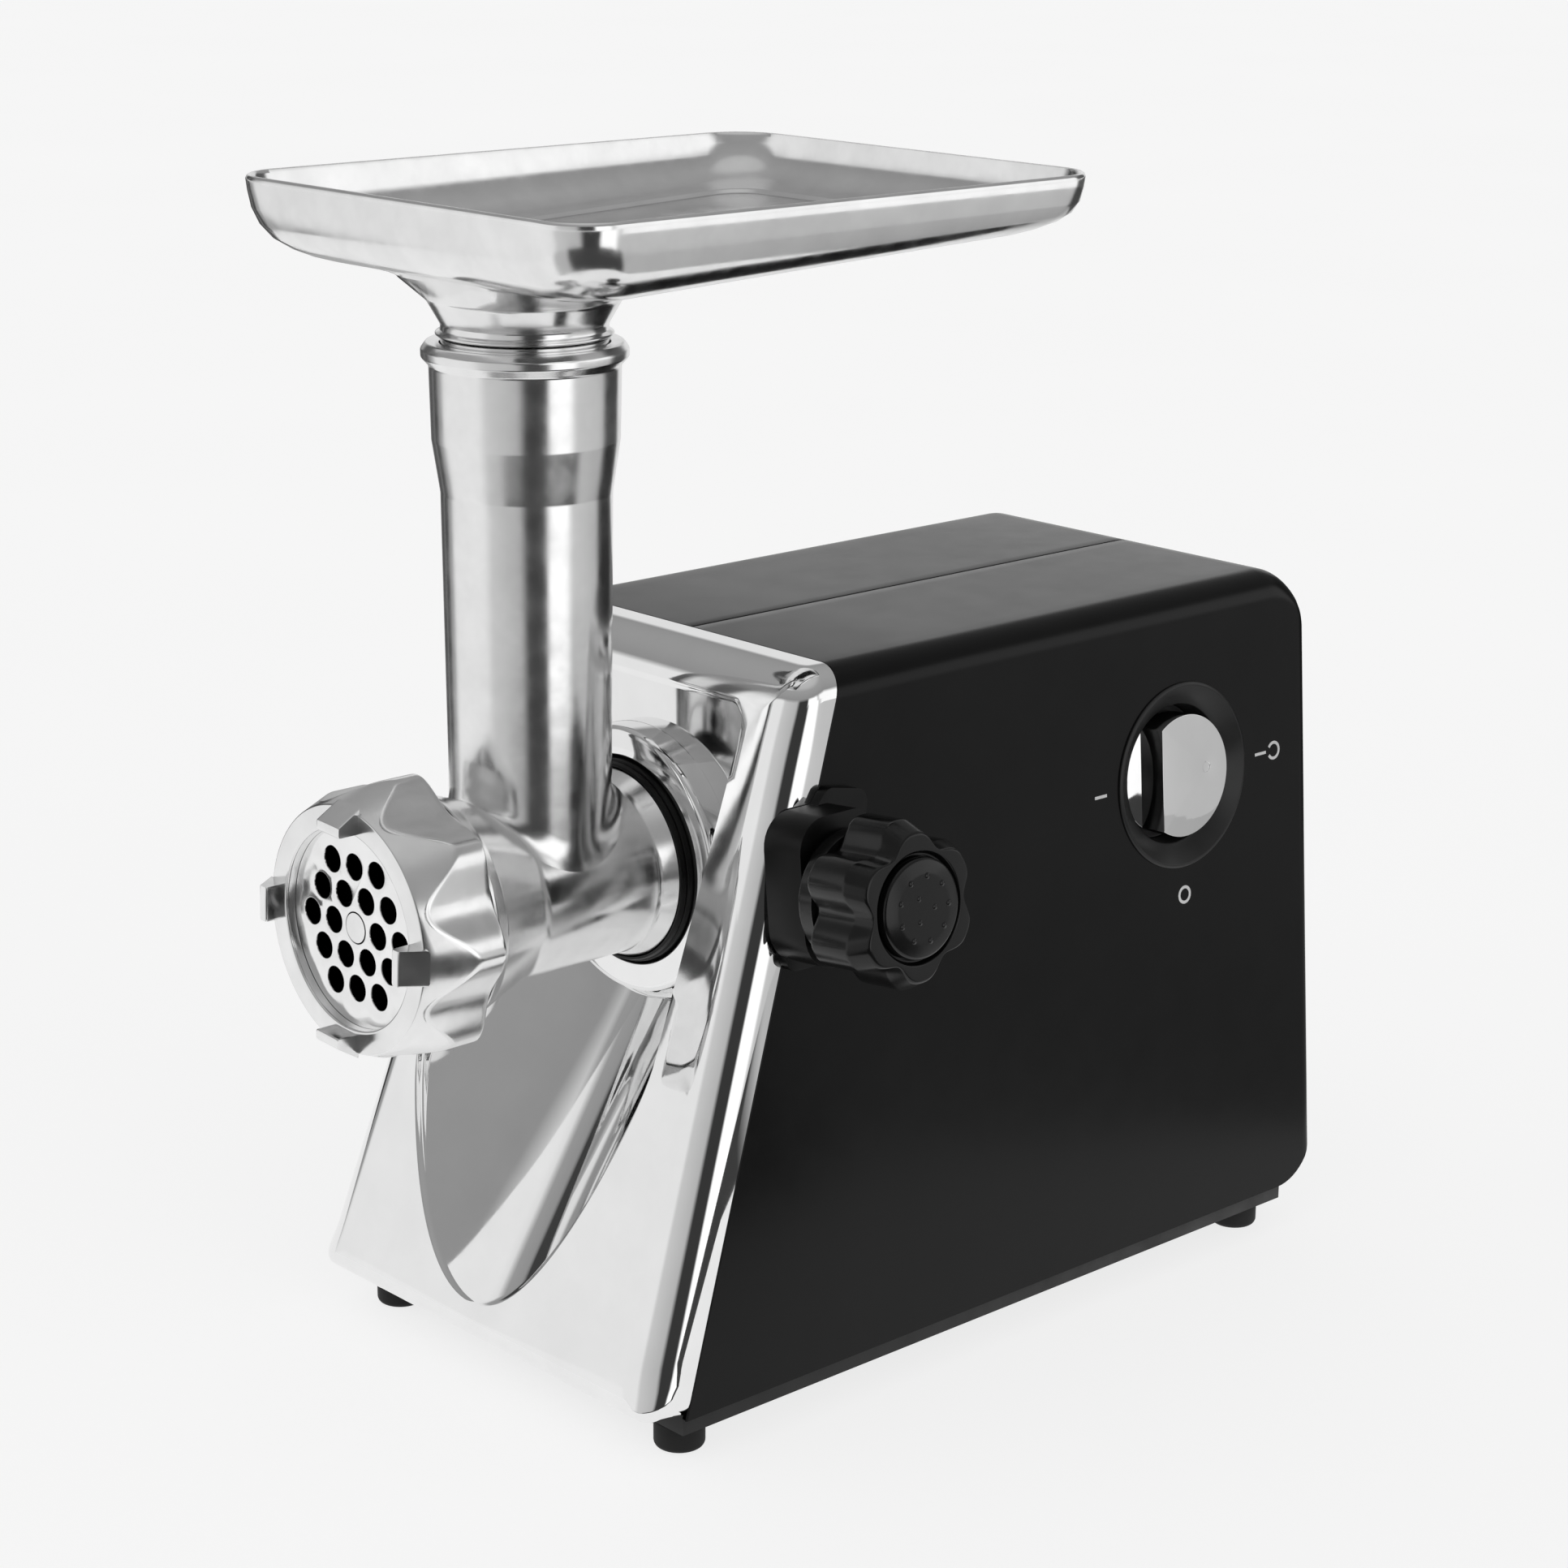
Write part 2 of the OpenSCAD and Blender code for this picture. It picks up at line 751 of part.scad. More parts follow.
module stator_core() {
    color("#7d8186") at_home() difference() {
        along_y(stator_y[0], stator_y[1]) translate(motor_c) {
            polygon(rounded([[-stator_w, -stator_h] / 2, [stator_w, -stator_h] / 2,
                [stator_w, stator_h] / 2, [-stator_w, stator_h] / 2], [12, 12, 12, 12]));
        }
        rod_y(motor_c, 20.3, stator_y[0] - 1, stator_y[1] + 1);
        post_rods(1.5, stator_y[0] - 1, stator_y[1] + 1);
        along_y(stator_y[0] - 1, stator_y[1] + 1) {
            coil_sector(1, 0.2);
            coil_sector(-1, 0.2);
        }
    }
}

module field_windings() {
    color("#a8561e") at_home() for (side = [-1, 1]) {
        along_y(stator_y[0] - 2, stator_y[1] + 7) coil_sector(side, 0);
    }
}

// A bar across the motor through its two clamping screws
module bracket_bar() {
    translate(motor_c) rotate(atan2(post[1], post[0])) square([2 * norm(post) + 8, 14], center = true);
}

module post_rods(r, y0, y1) {
    for (side = [-1, 1]) rod_y(motor_c + side * post, r, y0, y1);
}

module motor_front_bracket() {
    front = gearbox_rear + cover_t;
    color("#9fa3a6") at_home() difference() {
        union() {
            along_y(front, front + 3.5) bracket_bar();
            rod_y(motor_c, 12, front, front + 8);
            post_rods(3.4, front, stator_y[0]);
        }
        rod_y(motor_c, bearing_r, front + 1.2, front + 9);
        rod_y(motor_c, 7.2, front - 1, front + 9);
        post_rods(1.5, front - 1, stator_y[0] + 1);
    }
}

module motor_rear_bracket() {
    y = rear_bracket_y;
    color("#9fa3a6") at_home() difference() {
        union() {
            along_y(y[1] - 3.5, y[1]) bracket_bar();
            rod_y(motor_c, 12, y[0], y[1]);
            post_rods(3.4, stator_y[1], y[1]);
        }
        rod_y(motor_c, bearing_r, y[0] - 1, y[0] + 7);
        rod_y(motor_c, 6, y[0] - 1, y[1] + 1);
        post_rods(1.5, stator_y[1] - 1, y[1] + 1);
    }
}

module motor_bearings() {
    front = gearbox_rear + cover_t + 1.2;
    color("#c0c0c0") at_home() {
        bush(motor_c, shaft_r + running, bearing_r, front, front + 6);
        bush(motor_c, shaft_r + running, bearing_r, rear_bracket_y[0] + 0.5, rear_bracket_y[0] + 6.5);
    }
}

module brush_box(side, r0, r1, w, h) {
    middle = (commutator_y[0] + commutator_y[1]) / 2;
    x0 = side > 0 ? r0 : -r1;
    translate([motor_c[0] + x0, middle - w / 2, motor_c[1] - h / 2]) cube([r1 - r0, w, h]);
}

module brush_holders() {
    color("#c7a24a") at_home() for (side = [-1, 1]) difference() {
        brush_box(side, 13, 30.4, 9, 8);
        brush_box(side, 12, 29.4, 7.2, 6.2);
    }
}

module carbon_brushes() {
    color("#2e2e2e") at_home() for (side = [-1, 1]) brush_box(side, commutator_r + 0.06, 25, 7, 6);
}

module motor_screws() {
    color("silver") at_home() {
        post_rods(1.4, gearbox_rear + cover_t + 0.5, rear_bracket_y[1] + 1);
        post_rods(3, rear_bracket_y[1], rear_bracket_y[1] + 2);
    }
}

module rectifier_board() {
    color("#2f6b3a") at_home() translate([-54, -112, 128]) {
        cube([1.6, 46, 40]);
        translate([1.6, 6, 6]) cube([9, 16, 16]);
        translate([1.6, 32, 10]) rotate([0, 90, 0]) cylinder(r = 6, h = 16);
        translate([1.6, 26, 24]) cube([7, 12, 9]);
    }
}

module terminal_block() {
    color("#e8e4d8") at_home() translate([-50, -40, 62]) {
        for (i = [0:3]) translate([0, 7 * i, 0]) difference() {
            cube([12, 6.9, 14]);
            translate([3, 3.45, 5]) cylinder(r = 1.6, h = 20);
            translate([9, 3.45, 5]) cylinder(r = 1.6, h = 20);
        }
    }
}

// ---- switch --------------------------------------------------------------------------------------

module switch_spin(profile) {
    switch_frame() rotate([0, 90, 0]) rotate_extrude() polygon(profile);
}

module switch_dish() {
    inner = switch_knob_r + 2.2;
    outer = dish_r - 1.8;
    color("#151515") at_home() switch_spin([[dish_r, 0], [dish_r, 0.6], [dish_r - 0.8, 0.9],
        [inner, -3], [inner, -dish_d], [4.6, -dish_d], [4.6, -dish_d - 2], [outer, -dish_d - 2], [outer, 0]]);
}

module switch_body() {
    color("#222222") at_home() switch_frame() difference() {
        translate([-dish_d - 26, -15, -15]) cube([24, 30, 30]);
        rod_x(4 + running, -dish_d - 16, 0);
    }
}

module switch_knob() {
    color("#e0e0e0") at_home() switch_frame() {
        rod_x(4, -dish_d - 14, -dish_d + 1.5);
        rod_x(switch_knob_r, -dish_d + 1, -dish_d + 4);
        difference() {
            rod_x(switch_knob_r, -dish_d + 3, 1.5);
            translate([-far, -far - 10, -far]) cube([2 * far, far, 2 * far]);
            translate([1.2, 9, 1]) rod_x(1.6, 0, 3);
        }
    }
}

// ---- lock ----------------------------------------------------------------------------------------

module lock_bracket() {
    outline = [[-219, 128], [-196, 128], [-186, 172], [-201, 175], [-213, 162]];
    color("#141414") at_home() difference() {
        union() {
            intersection() {
                translate([half_w(housing_z), 0, housing_z]) rotate([0, -wall_tilt, 0]) {
                    translate([0, 0, -housing_z]) along_x(0.05, 3.2) {
                        polygon(rounded(outline, [4, 3, 4, 4, 6]));
                    }
                }
                translate([0, -far, 0]) cube([far, far, far]);
            }
            lock_frame() along_x(sleeve_x[0], sleeve_x[1]) polygon(rounded(sleeve_outline, [10, 7, 5, 9]));
        }
        lock_frame() rod_x(lock_screw_r + 0.4, 30, 90);
        side_cut();
    }
}

// Everything inside the housing's side surface
module side_cut() {
    translate([half_w(housing_z), -far, housing_z]) rotate([0, -wall_tilt, 0]) {
        translate([-far, 0, -far]) cube([far + 0.04, 2 * far, 2 * far]);
    }
}

module lock_washer() {
    x0 = sleeve_x[1] + 0.2;
    color("silver") at_home() lock_frame() difference() {
        rod_x(12, x0, x0 + washer_t);
        rod_x(lock_screw_r + gap, x0 - 1, x0 + washer_t + 1);
    }
}

module lock_screw() {
    color("#9a9a9a") at_home() lock_frame() {
        rod_x(lock_screw_r - 1, lock_tip, lock_tip + 3);
        rod_x(lock_screw_r, lock_tip + 3 - eps, knob_rear + 16);
    }
}

module knob_outline() {
    difference() {
        union() {
            circle(lock_knob_r - 4.2);
            for (i = [0:lobes - 1]) rotate(i * lobe_step) translate([lock_knob_r - lobe_r, 0]) circle(lobe_r);
        }
        for (i = [0:lobes - 1]) rotate((i + 0.5) * lobe_step) translate([valley_r + hollow_r, 0]) circle(hollow_r);
    }
}

module lock_knob() {
    color("#141414") at_home() lock_frame() difference() {
        union() {
            rod_x(skirt_r, knob_rear, knob_rear + skirt_l + eps);
            translate([knob_rear + skirt_l, 0, 0]) rotate([0, 90, 0]) {
                linear_extrude(knob_face - knob_rear - skirt_l) knob_outline();
            }
        }
        rod_x(lock_screw_r, knob_rear - 1, knob_rear + 16);
        rod_x(cap_r + 0.1, knob_face - 3, knob_face + 1);
    }
}

module lock_knob_cap() {
    color("#181818") at_home() lock_frame() {
        rod_x(cap_r, knob_face - 3, cap_face);
        for (ring = [[3.5, 3], [8.5, 9]], i = [0:ring[1] - 1]) rotate([i * 360 / ring[1], 0, 0]) {
            translate([0, 0, ring[0]]) rod_x(0.8, cap_face - eps, lock_reach);
        }
    }
}

// ---- grinding head -------------------------------------------------------------------------------

module head_casting() {
    plate_r = plate_d / 2 + 0.1;
    color("#c4c6c8") at_home() difference() {
        union() {
            spin_y(output_c, [[0, spigot_end], [spigot_r, spigot_end], [spigot_r, flange_rear],
                [flange_r, flange_rear], [flange_r, flange_front], [barrel_r + 0.7, flange_front - 2.5],
                [barrel_r, flange_front - 6], [barrel_r, -258], [barrel_r + 1.5, -267],
                [thread_r - 3, -279], [thread_r, barrel_front],
                [thread_r, thread_front], [0, thread_front]]);
            translate([0, tube_y, 0]) rotate_extrude() polygon([[0, head_z + 4], [tube_r - 0.4, head_z + 4],
                [tube_r - 0.2, head_z + 26], [tube_r + 0.5, tube_neck_z], [tube_mouth_r, tube_mouth_z],
                [tube_mouth_r, tube_top - 6], [tube_bead_r - 0.6, tube_top - 4.5],
                [tube_bead_r, tube_top - 2.5], [tube_bead_r - 0.6, tube_top - 0.6],
                [tube_bead_r - 1.4, tube_top], [0, tube_top]]);
        }
        rod_y(output_c, bore_r, thread_front - 1, bore_rear);
        rod_y(output_c, knife_room_r, thread_front - 1, knife_rear + 1);
        rod_y(output_c, plate_r, thread_front - 1, plate_rear);
        rod_y(output_c, bush_r, bore_rear - 1, spigot_end + 1);
        translate([0, tube_y, head_z]) cylinder(r = throat_r, h = far);
        translate([0, tube_y, tube_ledge_z]) cylinder(r = tube_bore_r, h = far);
        lock_frame() translate([lock_tip - 0.6, -lock_screw_r, -3.4]) cube([10, 30, 6.8]);
    }
    color("#c4c6c8") at_home() plate_key(0);
}

// The key at the top of the plate's seat; grow widens it for the notch in the plate
module plate_key(grow) {
    z = head_z + plate_d / 2 - 2;
    translate([-1.7 - grow, plate_front + 1 - 10 * grow, z - grow]) {
        cube([3.4 + 2 * grow, plate_t + 9 * grow, 3]);
    }
}

module screw_bush() {
    color("#e8e6df") at_home() bush(output_c, shank_r + running, bush_r, bore_rear, spigot_end);
}

module feed_screw() {
    core_r = 9;
    front = knife_rear + 0.2;
    color("#b9bcbf") at_home() translate([output_c[0], 0, output_c[1]]) {
        rod_y([0, 0], core_r, front, bore_rear - 1);
        rod_y([0, 0], shank_r, bore_rear - 1.5, spigot_end);
        along_y(spigot_end - 1, tang_end) circle(r = tang_af / 2 / cos(30), $fn = 6);
        along_y(plate_rear + 0.1, front + 1) square(9, center = true);
        rod_y([0, 0], 4, plate_front, front);
        translate([0, bore_rear - 2, 0]) rotate([90, 0, 0]) {
            length = bore_rear - 2 - front - 1;
            linear_extrude(length, twist = -360 * length / flight_pitch, slices = 34, convexity = 8) {
                flight2d();
            }
        }
    }
}

// Cross-section of the single flight: a crescent that reaches the flight's radius on one side
module flight2d() {
    half = 52;
    polygon(concat([for (i = [-4:4]) let (a = i * half / 4) screw_r * [cos(a), sin(a)]],
        [for (i = [4:-1:-4]) let (a = i * (half + 26) / 4) 8.5 * [cos(a), sin(a)]]));
}

module knife() {
    color("#a9acae") at_home() translate([output_c[0], 0, output_c[1]]) difference() {
        along_y(plate_rear + 0.05, knife_rear) {
            circle(10.5);
            for (i = [0:blades - 1]) rotate(i * 360 / blades + 20) polygon([[0, -5.5], [20, -4.5], [24, -2.5],
                [24, 0], [20, 2.2], [0, 4]]);
        }
        along_y(plate_rear - 1, knife_rear + 1) square(9.3, center = true);
    }
}

// Hexagonal lattice positions inside the hole circle, without the middle one
function lattice() = [for (j = [-2:2], i = [-2:2])
    let (p = plate_pitch * [i + j / 2, j * sqrt(3) / 2])
    if (norm(p) > 1 && norm(p) < 2.1 * plate_pitch) p];

module cutting_plate() {
    color("#cfd1d3") at_home() difference() {
        translate([output_c[0], 0, output_c[1]]) difference() {
            rod_y([0, 0], plate_d / 2, plate_front, plate_rear);
            rod_y([0, 0], 4.3, plate_front - 1, plate_rear + 1);
            for (p = lattice()) rod_y(p, plate_hole_d / 2, plate_front - 1, plate_rear + 1);
        }
        plate_key(0.3);
    }
}

// One of the blocks on the nut's front that a spanner or a hand turns it by
module nut_tab() {
    slope = (tab_root_r - tab_tip_r) / (head_end - tab_front);
    intersection() {
        translate([outlet_r + 0.6, tab_front, -tab_w / 2]) {
            cube([tab_root_r - outlet_r + 1, head_end + 1 - tab_front, tab_w]);
        }
        spin_y([0, 0], [[0, tab_front], [tab_tip_r, tab_front], [tab_root_r + slope, head_end + 1],
            [0, head_end + 1]]);
    }
}

module ring_nut() {
    ridge_top = 5.5;
    color("#cfd1d3") at_home() translate([output_c[0], 0, output_c[1]]) {
        difference() {
            union() {
                spin_y([0, 0], [[outlet_r + 1, head_end], [nut_r - 2, head_end], [nut_r, head_end + 2],
                    [nut_r, nut_rear - 6], [nut_r - 1.5, nut_rear], [outlet_r + 1, nut_rear]]);
                for (i = [0:ridges - 1]) rotate([0, i * 360 / ridges, 0]) {
                    translate([0, 0, ridge_r - ridge_top]) rod_y([0, 0], ridge_top, head_end + 5, nut_rear);
                }
                for (a = tab_angles) rotate([0, -a, 0]) nut_tab();
            }
            rod_y([0, 0], outlet_r, head_end - 1, nut_rear + 1);
            rod_y([0, 0], thread_r + gap, plate_front - gap / 3, nut_rear + 1);
        }
    }
}

// ---- tray ----------------------------------------------------------------------------------------

// A thin slab in the shape of the tray's plan, drawn in by an inset, for hulls
module tray_slab(inset, z_front, z_rear) {
    r = max(tray_corner_r - inset / 2, 4);
    y0 = tray_front + inset;
    y1 = tray_front + tray_l - inset;
    x = tray_w / 2 - inset;
    for (sx = [-1, 1]) {
        translate([sx * (x - r), y0 + r, z_front]) cylinder(r = r, h = 0.1, $fn = 32);
        translate([sx * (x - r), y1 - r, z_rear]) cylinder(r = r, h = 0.1, $fn = 32);
    }
}

module tray_pan(grow, top) {
    hull() {
        tray_slab(grow, top, top);
        tray_slab(grow + 3, rim_z - 9, rim_z - 9);
        tray_slab(grow + 14, tray_floor_front + grow, tray_floor_rear + grow);
    }
}

module tray() {
    funnel_top = tray_floor_front + 3;
    color("#cfd1d3") at_home() difference() {
        union() {
            tray_pan(0, rim_z - 0.1);
            translate([0, tube_y, 0]) rotate_extrude() polygon([[0, tube_ledge_z + 0.5],
                [tray_neck_r, tube_ledge_z + 0.5], [tray_neck_r, tube_top + 1],
                [tray_neck_r + 1.8, tube_top + 2.5], [tray_neck_r, tube_top + 4],
                [tray_neck_r + 2, funnel_top - 9], [tray_funnel_r - 4, funnel_top - 3],
                [tray_funnel_r, funnel_top], [0, funnel_top]]);
        }
        tray_pan(sheet, rim_z + 1);
        translate([0, tube_y, 0]) rotate_extrude() polygon([[0, tube_ledge_z - 1],
            [throat_r + 0.2, tube_ledge_z - 1], [throat_r + 0.2, tube_top + 4],
            [throat_r + 2.2, funnel_top - 8.5], [tray_funnel_r - 6, funnel_top - 2],
            [tray_funnel_r - 5, funnel_top + 8], [0, funnel_top + 8]]);
    }
}

// ---- the parts, one by one -----------------------------------------------------------------------

housing_right();
housing_left();
housing_screws();
front_bezel();
base_plate();
base_screws();
feet();
cord_gland();
socket_collar();
socket_ring();
gearbox_housing();
gearbox_cover();
gearbox_screws();
output_bush();
rear_bush();
output_shaft();
output_gear();
second_shaft();
second_gear();
first_shaft();
first_gear();
motor_pinion();
motor_shaft();
rotor_core();
rotor_windings();
commutator();
cooling_fan();
stator_core();
field_windings();
motor_front_bracket();
motor_rear_bracket();
motor_bearings();
brush_holders();
carbon_brushes();
motor_screws();
rectifier_board();
terminal_block();
switch_dish();
switch_body();
switch_knob();
lock_bracket();
lock_washer();
lock_screw();
lock_knob();
lock_knob_cap();
head_casting();
screw_bush();
feed_screw();
knife();
cutting_plate();
ring_nut();
tray();
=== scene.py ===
"""Looks of the electric meat grinder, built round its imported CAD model.

Lengths are millimetres in the machine's own frame (middle plane at X 0, rear face at Y 0, ground at Z 0)
until at() turns them into the row frame's metres.
"""
import json
import math

import bmesh
import bpy
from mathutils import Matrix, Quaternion, Vector

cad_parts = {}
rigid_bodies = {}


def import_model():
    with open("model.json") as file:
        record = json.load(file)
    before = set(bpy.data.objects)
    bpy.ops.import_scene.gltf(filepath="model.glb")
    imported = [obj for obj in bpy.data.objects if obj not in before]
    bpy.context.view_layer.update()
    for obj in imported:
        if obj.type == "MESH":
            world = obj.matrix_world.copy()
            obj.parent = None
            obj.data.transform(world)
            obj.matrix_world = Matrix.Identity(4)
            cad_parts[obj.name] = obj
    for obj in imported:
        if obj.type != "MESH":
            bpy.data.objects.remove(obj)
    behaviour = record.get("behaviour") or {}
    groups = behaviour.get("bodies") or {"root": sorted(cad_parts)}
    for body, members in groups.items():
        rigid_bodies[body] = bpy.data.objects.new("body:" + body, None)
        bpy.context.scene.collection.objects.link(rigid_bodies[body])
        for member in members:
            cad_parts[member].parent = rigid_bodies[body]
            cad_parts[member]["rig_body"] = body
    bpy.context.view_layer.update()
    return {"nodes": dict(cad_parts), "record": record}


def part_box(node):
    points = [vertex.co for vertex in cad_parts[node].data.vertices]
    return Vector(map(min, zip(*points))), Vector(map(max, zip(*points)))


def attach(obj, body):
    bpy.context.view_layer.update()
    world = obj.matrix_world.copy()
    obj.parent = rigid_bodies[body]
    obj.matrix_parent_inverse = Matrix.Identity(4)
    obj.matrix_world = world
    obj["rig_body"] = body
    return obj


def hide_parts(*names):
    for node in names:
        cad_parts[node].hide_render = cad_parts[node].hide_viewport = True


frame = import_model()

MM = 0.001
MID_X = (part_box("base_plate")[0].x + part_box("base_plate")[1].x) / 2
REAR_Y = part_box("housing_left")[1].y
SUBPARTS = frame["record"]["subparts"]

# Housing and bezel
HOUSING_Z = 14.0
HOUSING_TOP = 204.5
HALF_BOTTOM = 75.0
HALF_TOP = 60.7
HOUSING_L = 258.0
LEAN_SLOPE = math.tan(math.radians(19.4))
SIDE_TILT = math.atan((HALF_BOTTOM - HALF_TOP) / (HOUSING_TOP - HOUSING_Z))
EDGE_R = 9.0
BEZEL_D = 13.75
SKIN = 1.6

# Scooped channel and socket
SCOOP_R = 60.0
SCOOP_X = -4.0
SCOOP_TIP = (-268.5, 23.2)
SCOOP_FOOT = (-212.0, 104.5)
SCOOP_LEAN = math.atan2(SCOOP_FOOT[0] - SCOOP_TIP[0], SCOOP_FOOT[1] - SCOOP_TIP[1])
SCOOP_REAR = -207.6
HEAD_Z = 142.5
COLLAR_R = 37.5
RING_R = 29.3
FLANGE_R = 26.6

# Head, nut and tray
BARREL_R = 24.4
THREAD_R = 33.2
THREAD_REAR = -287
THREAD_FRONT = -303
THREAD_PITCH = 4
THREAD_DEPTH = 0.9
TUBE_Y = -247.7
TUBE_R = 21.8
BORE_R = 19.8
FOOT_SINK = 1.2
HEAD_END = -309.0
PLATE_FACE = -306.0
NUT_REAR = -286.0
RIDGE_R = 38.2
HOLLOW = 4.1
CONE_R = 33.0
CONE_SLOPE = 0.36
TAB_FRONT = -315.0
TAB_HALF = 4.8
RIDGES = 8
NUT_TURN = math.radians(-3)
TRAY_FRONT = -290.0
TRAY_L = 183.5
TRAY_W = 145.5

# Lock and switch
LOCK_Y = -208.0
LOCK_TILT = math.radians(5.7)
KNOB_FACE = 108.5
KNOB_R = 22.4
KNOB_VALLEY = 14.8
SKIRT_R = 17.5
LOBES = 6
SWITCH_Y = -57.5
SWITCH_Z = 151.0
DISH_R = 27.5
RING_POINTS = 24


# ---- places --------------------------------------------------------------------------------------

def at(x, y, z):
    """A point of the machine's frame, in the row frame's metres."""
    return Vector((x * MM + MID_X, y * MM + REAR_Y, z * MM))


def half_w(z):
    return HALF_BOTTOM - (z - HOUSING_Z) * math.tan(SIDE_TILT)


def seam_y(z):
    return -HOUSING_L + (z - HOUSING_Z) * LEAN_SLOPE


def along_head(a, u, v):
    """Axis of the grinding head: a runs along Y."""
    return at(u, a, HEAD_Z + v)


def along_tube(a, u, v):
    """Axis of the feed tube: a is the height."""
    return at(u, TUBE_Y + v, a)


def tilted(origin, tilt):
    """A frame whose a axis leans up from +X by tilt, with u along Y."""
    def place(a, u, v):
        x = origin[0] + a * math.cos(tilt) - v * math.sin(tilt)
        z = origin[2] + a * math.sin(tilt) + v * math.cos(tilt)
        return at(x, origin[1] + u, z)
    return place


along_lock = tilted((0, LOCK_Y, HEAD_Z), LOCK_TILT)
along_switch = tilted((half_w(SWITCH_Z), SWITCH_Y, SWITCH_Z), SIDE_TILT)


# ---- mesh helpers --------------------------------------------------------------------------------

def fillet(points, closed=True, steps=5):
    """Points of (x, y, radius) as a polyline with each corner rounded to its radius."""
    out = []
    count = len(points)
    for i, (x, y, r) in enumerate(points):
        here = Vector((x, y))
        if r <= 0 or (not closed and i in (0, count - 1)):
            out.append(here)
            continue
        before = Vector(points[i - 1][:2]) - here
        after = Vector(points[(i + 1) % count][:2]) - here
        angle = before.angle(after)
        if angle > math.pi - 0.02:
            out.append(here)
            continue
        reach = min(r / math.tan(angle / 2), before.length * 0.49, after.length * 0.49)
        start = here + before.normalized() * reach
        end = here + after.normalized() * reach
        for k in range(steps + 1):
            t = k / steps
            out.append((1 - t) ** 2 * start + 2 * t * (1 - t) * here + t * t * end)
    return out


def mesh_object(name, points, faces, angle=32):
    """A new object with smooth faces and sharp edges above an angle in degrees."""
    mesh = bpy.data.meshes.new(name)
    mesh.from_pydata([tuple(p) for p in points], [], faces)
    mesh.validate()
    work = bmesh.new()
    work.from_mesh(mesh)
    bmesh.ops.remove_doubles(work, verts=work.verts, dist=1e-7)
    bmesh.ops.dissolve_degenerate(work, edges=work.edges, dist=1e-7)
    bmesh.ops.recalc_face_normals(work, faces=work.faces)
    work.to_mesh(mesh)
    work.free()
    mesh.shade_smooth()
    mesh.set_sharp_from_angle(angle=math.radians(angle))
    piece = bpy.data.objects.new(name, mesh)
    bpy.context.scene.collection.objects.link(piece)
    return piece


def skin_rings(rings, closed=True):
    """Quads between neighbouring rings of equal length; closed joins the last ring to the first."""
    n = len(rings[0])
    points = [p for ring in rings for p in ring]
    faces = []
    last = len(rings) if closed else len(rings) - 1
    for j in range(last):
        k = (j + 1) % len(rings)
        for i in range(n):
            m = (i + 1) % n
            faces.append((j * n + i, j * n + m, k * n + m, k * n + i))
    return points, faces


def lathe(name, profile, place, count=128, wave=None, angle=32):
    """Spins a closed profile of (radius, along) points about a place's axis. wave may change a radius."""
    rings = []
    for r, a in profile:
        ring = []
        for i in range(count):
            t = 2 * math.pi * i / count
            q = wave(t, r, a) if wave else r
            ring.append(place(a, q * math.cos(t), q * math.sin(t)))
        rings.append(ring)
    points, faces = skin_rings(rings)
    return mesh_object(name, points, faces, angle)


def turned(name, corners, place, count=128, wave=None, steps=5):
    """A lathe of a closed profile whose corners are (radius, along, fillet)."""
    return lathe(name, fillet(corners, True, steps), place, count, wave)


def refined(node, width, segments=2, limit=28):
    """A copy of a CAD node's shape with its sharp edges rounded."""
    work = bmesh.new()
    work.from_mesh(frame["nodes"][node].data)
    bmesh.ops.remove_doubles(work, verts=work.verts, dist=2e-6)
    bmesh.ops.dissolve_degenerate(work, edges=work.edges, dist=1e-6)
    bmesh.ops.dissolve_limit(
        work, angle_limit=math.radians(0.6), verts=work.verts, edges=work.edges, delimit={"NORMAL"}
    )
    sharp = []
    for edge in work.edges:
        if len(edge.link_faces) == 2 and edge.calc_face_angle(0) > math.radians(limit):
            sharp.append(edge)
    bmesh.ops.bevel(
        work, geom=sharp, offset=width * MM, offset_type="OFFSET", segments=segments,
        profile=0.5, affect="EDGES", clamp_overlap=True,
    )
    bmesh.ops.triangulate(work, faces=[f for f in work.faces if len(f.verts) > 4])
    mesh = bpy.data.meshes.new(node + "_look")
    work.to_mesh(mesh)
    work.free()
    mesh.shade_smooth()
    mesh.set_sharp_from_angle(angle=math.radians(limit))
    piece = bpy.data.objects.new(node + "_look", mesh)
    bpy.context.scene.collection.objects.link(piece)
    return piece


def cut(piece, tools):
    """Takes each tool's volume out of the piece."""
    for tool in tools:
        step = piece.modifiers.new("cut", "BOOLEAN")
        step.operation = "DIFFERENCE"
        step.solver = "EXACT"
        step.object = tool
    bpy.context.view_layer.update()
    done = bpy.data.meshes.new_from_object(piece.evaluated_get(bpy.context.evaluated_depsgraph_get()))
    piece.modifiers.clear()
    piece.data = done
    for tool in tools:
        bpy.data.objects.remove(tool)
    piece.data.shade_smooth()
    piece.data.set_sharp_from_angle(angle=math.radians(32))
    return piece


def place_piece(piece, body, node, material, slot=None):
    """Gives a piece its material and the body it moves with, and hides the CAD node it stands for."""
    piece.data.materials.clear()
    piece.data.materials.append(MATERIALS[material])
    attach(piece, body)
    if node:
        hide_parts(node)
    slot or material
    return piece


def body_of_node(node):
    return frame["nodes"][node]["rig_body"]


# ---- materials -----------------------------------------------------------------------------------

def add(tree, kind, **inputs):
    node = tree.nodes.new(kind)
    for key, value in inputs.items():
        node.inputs[key.replace("_", " ")].default_value = value
    return node


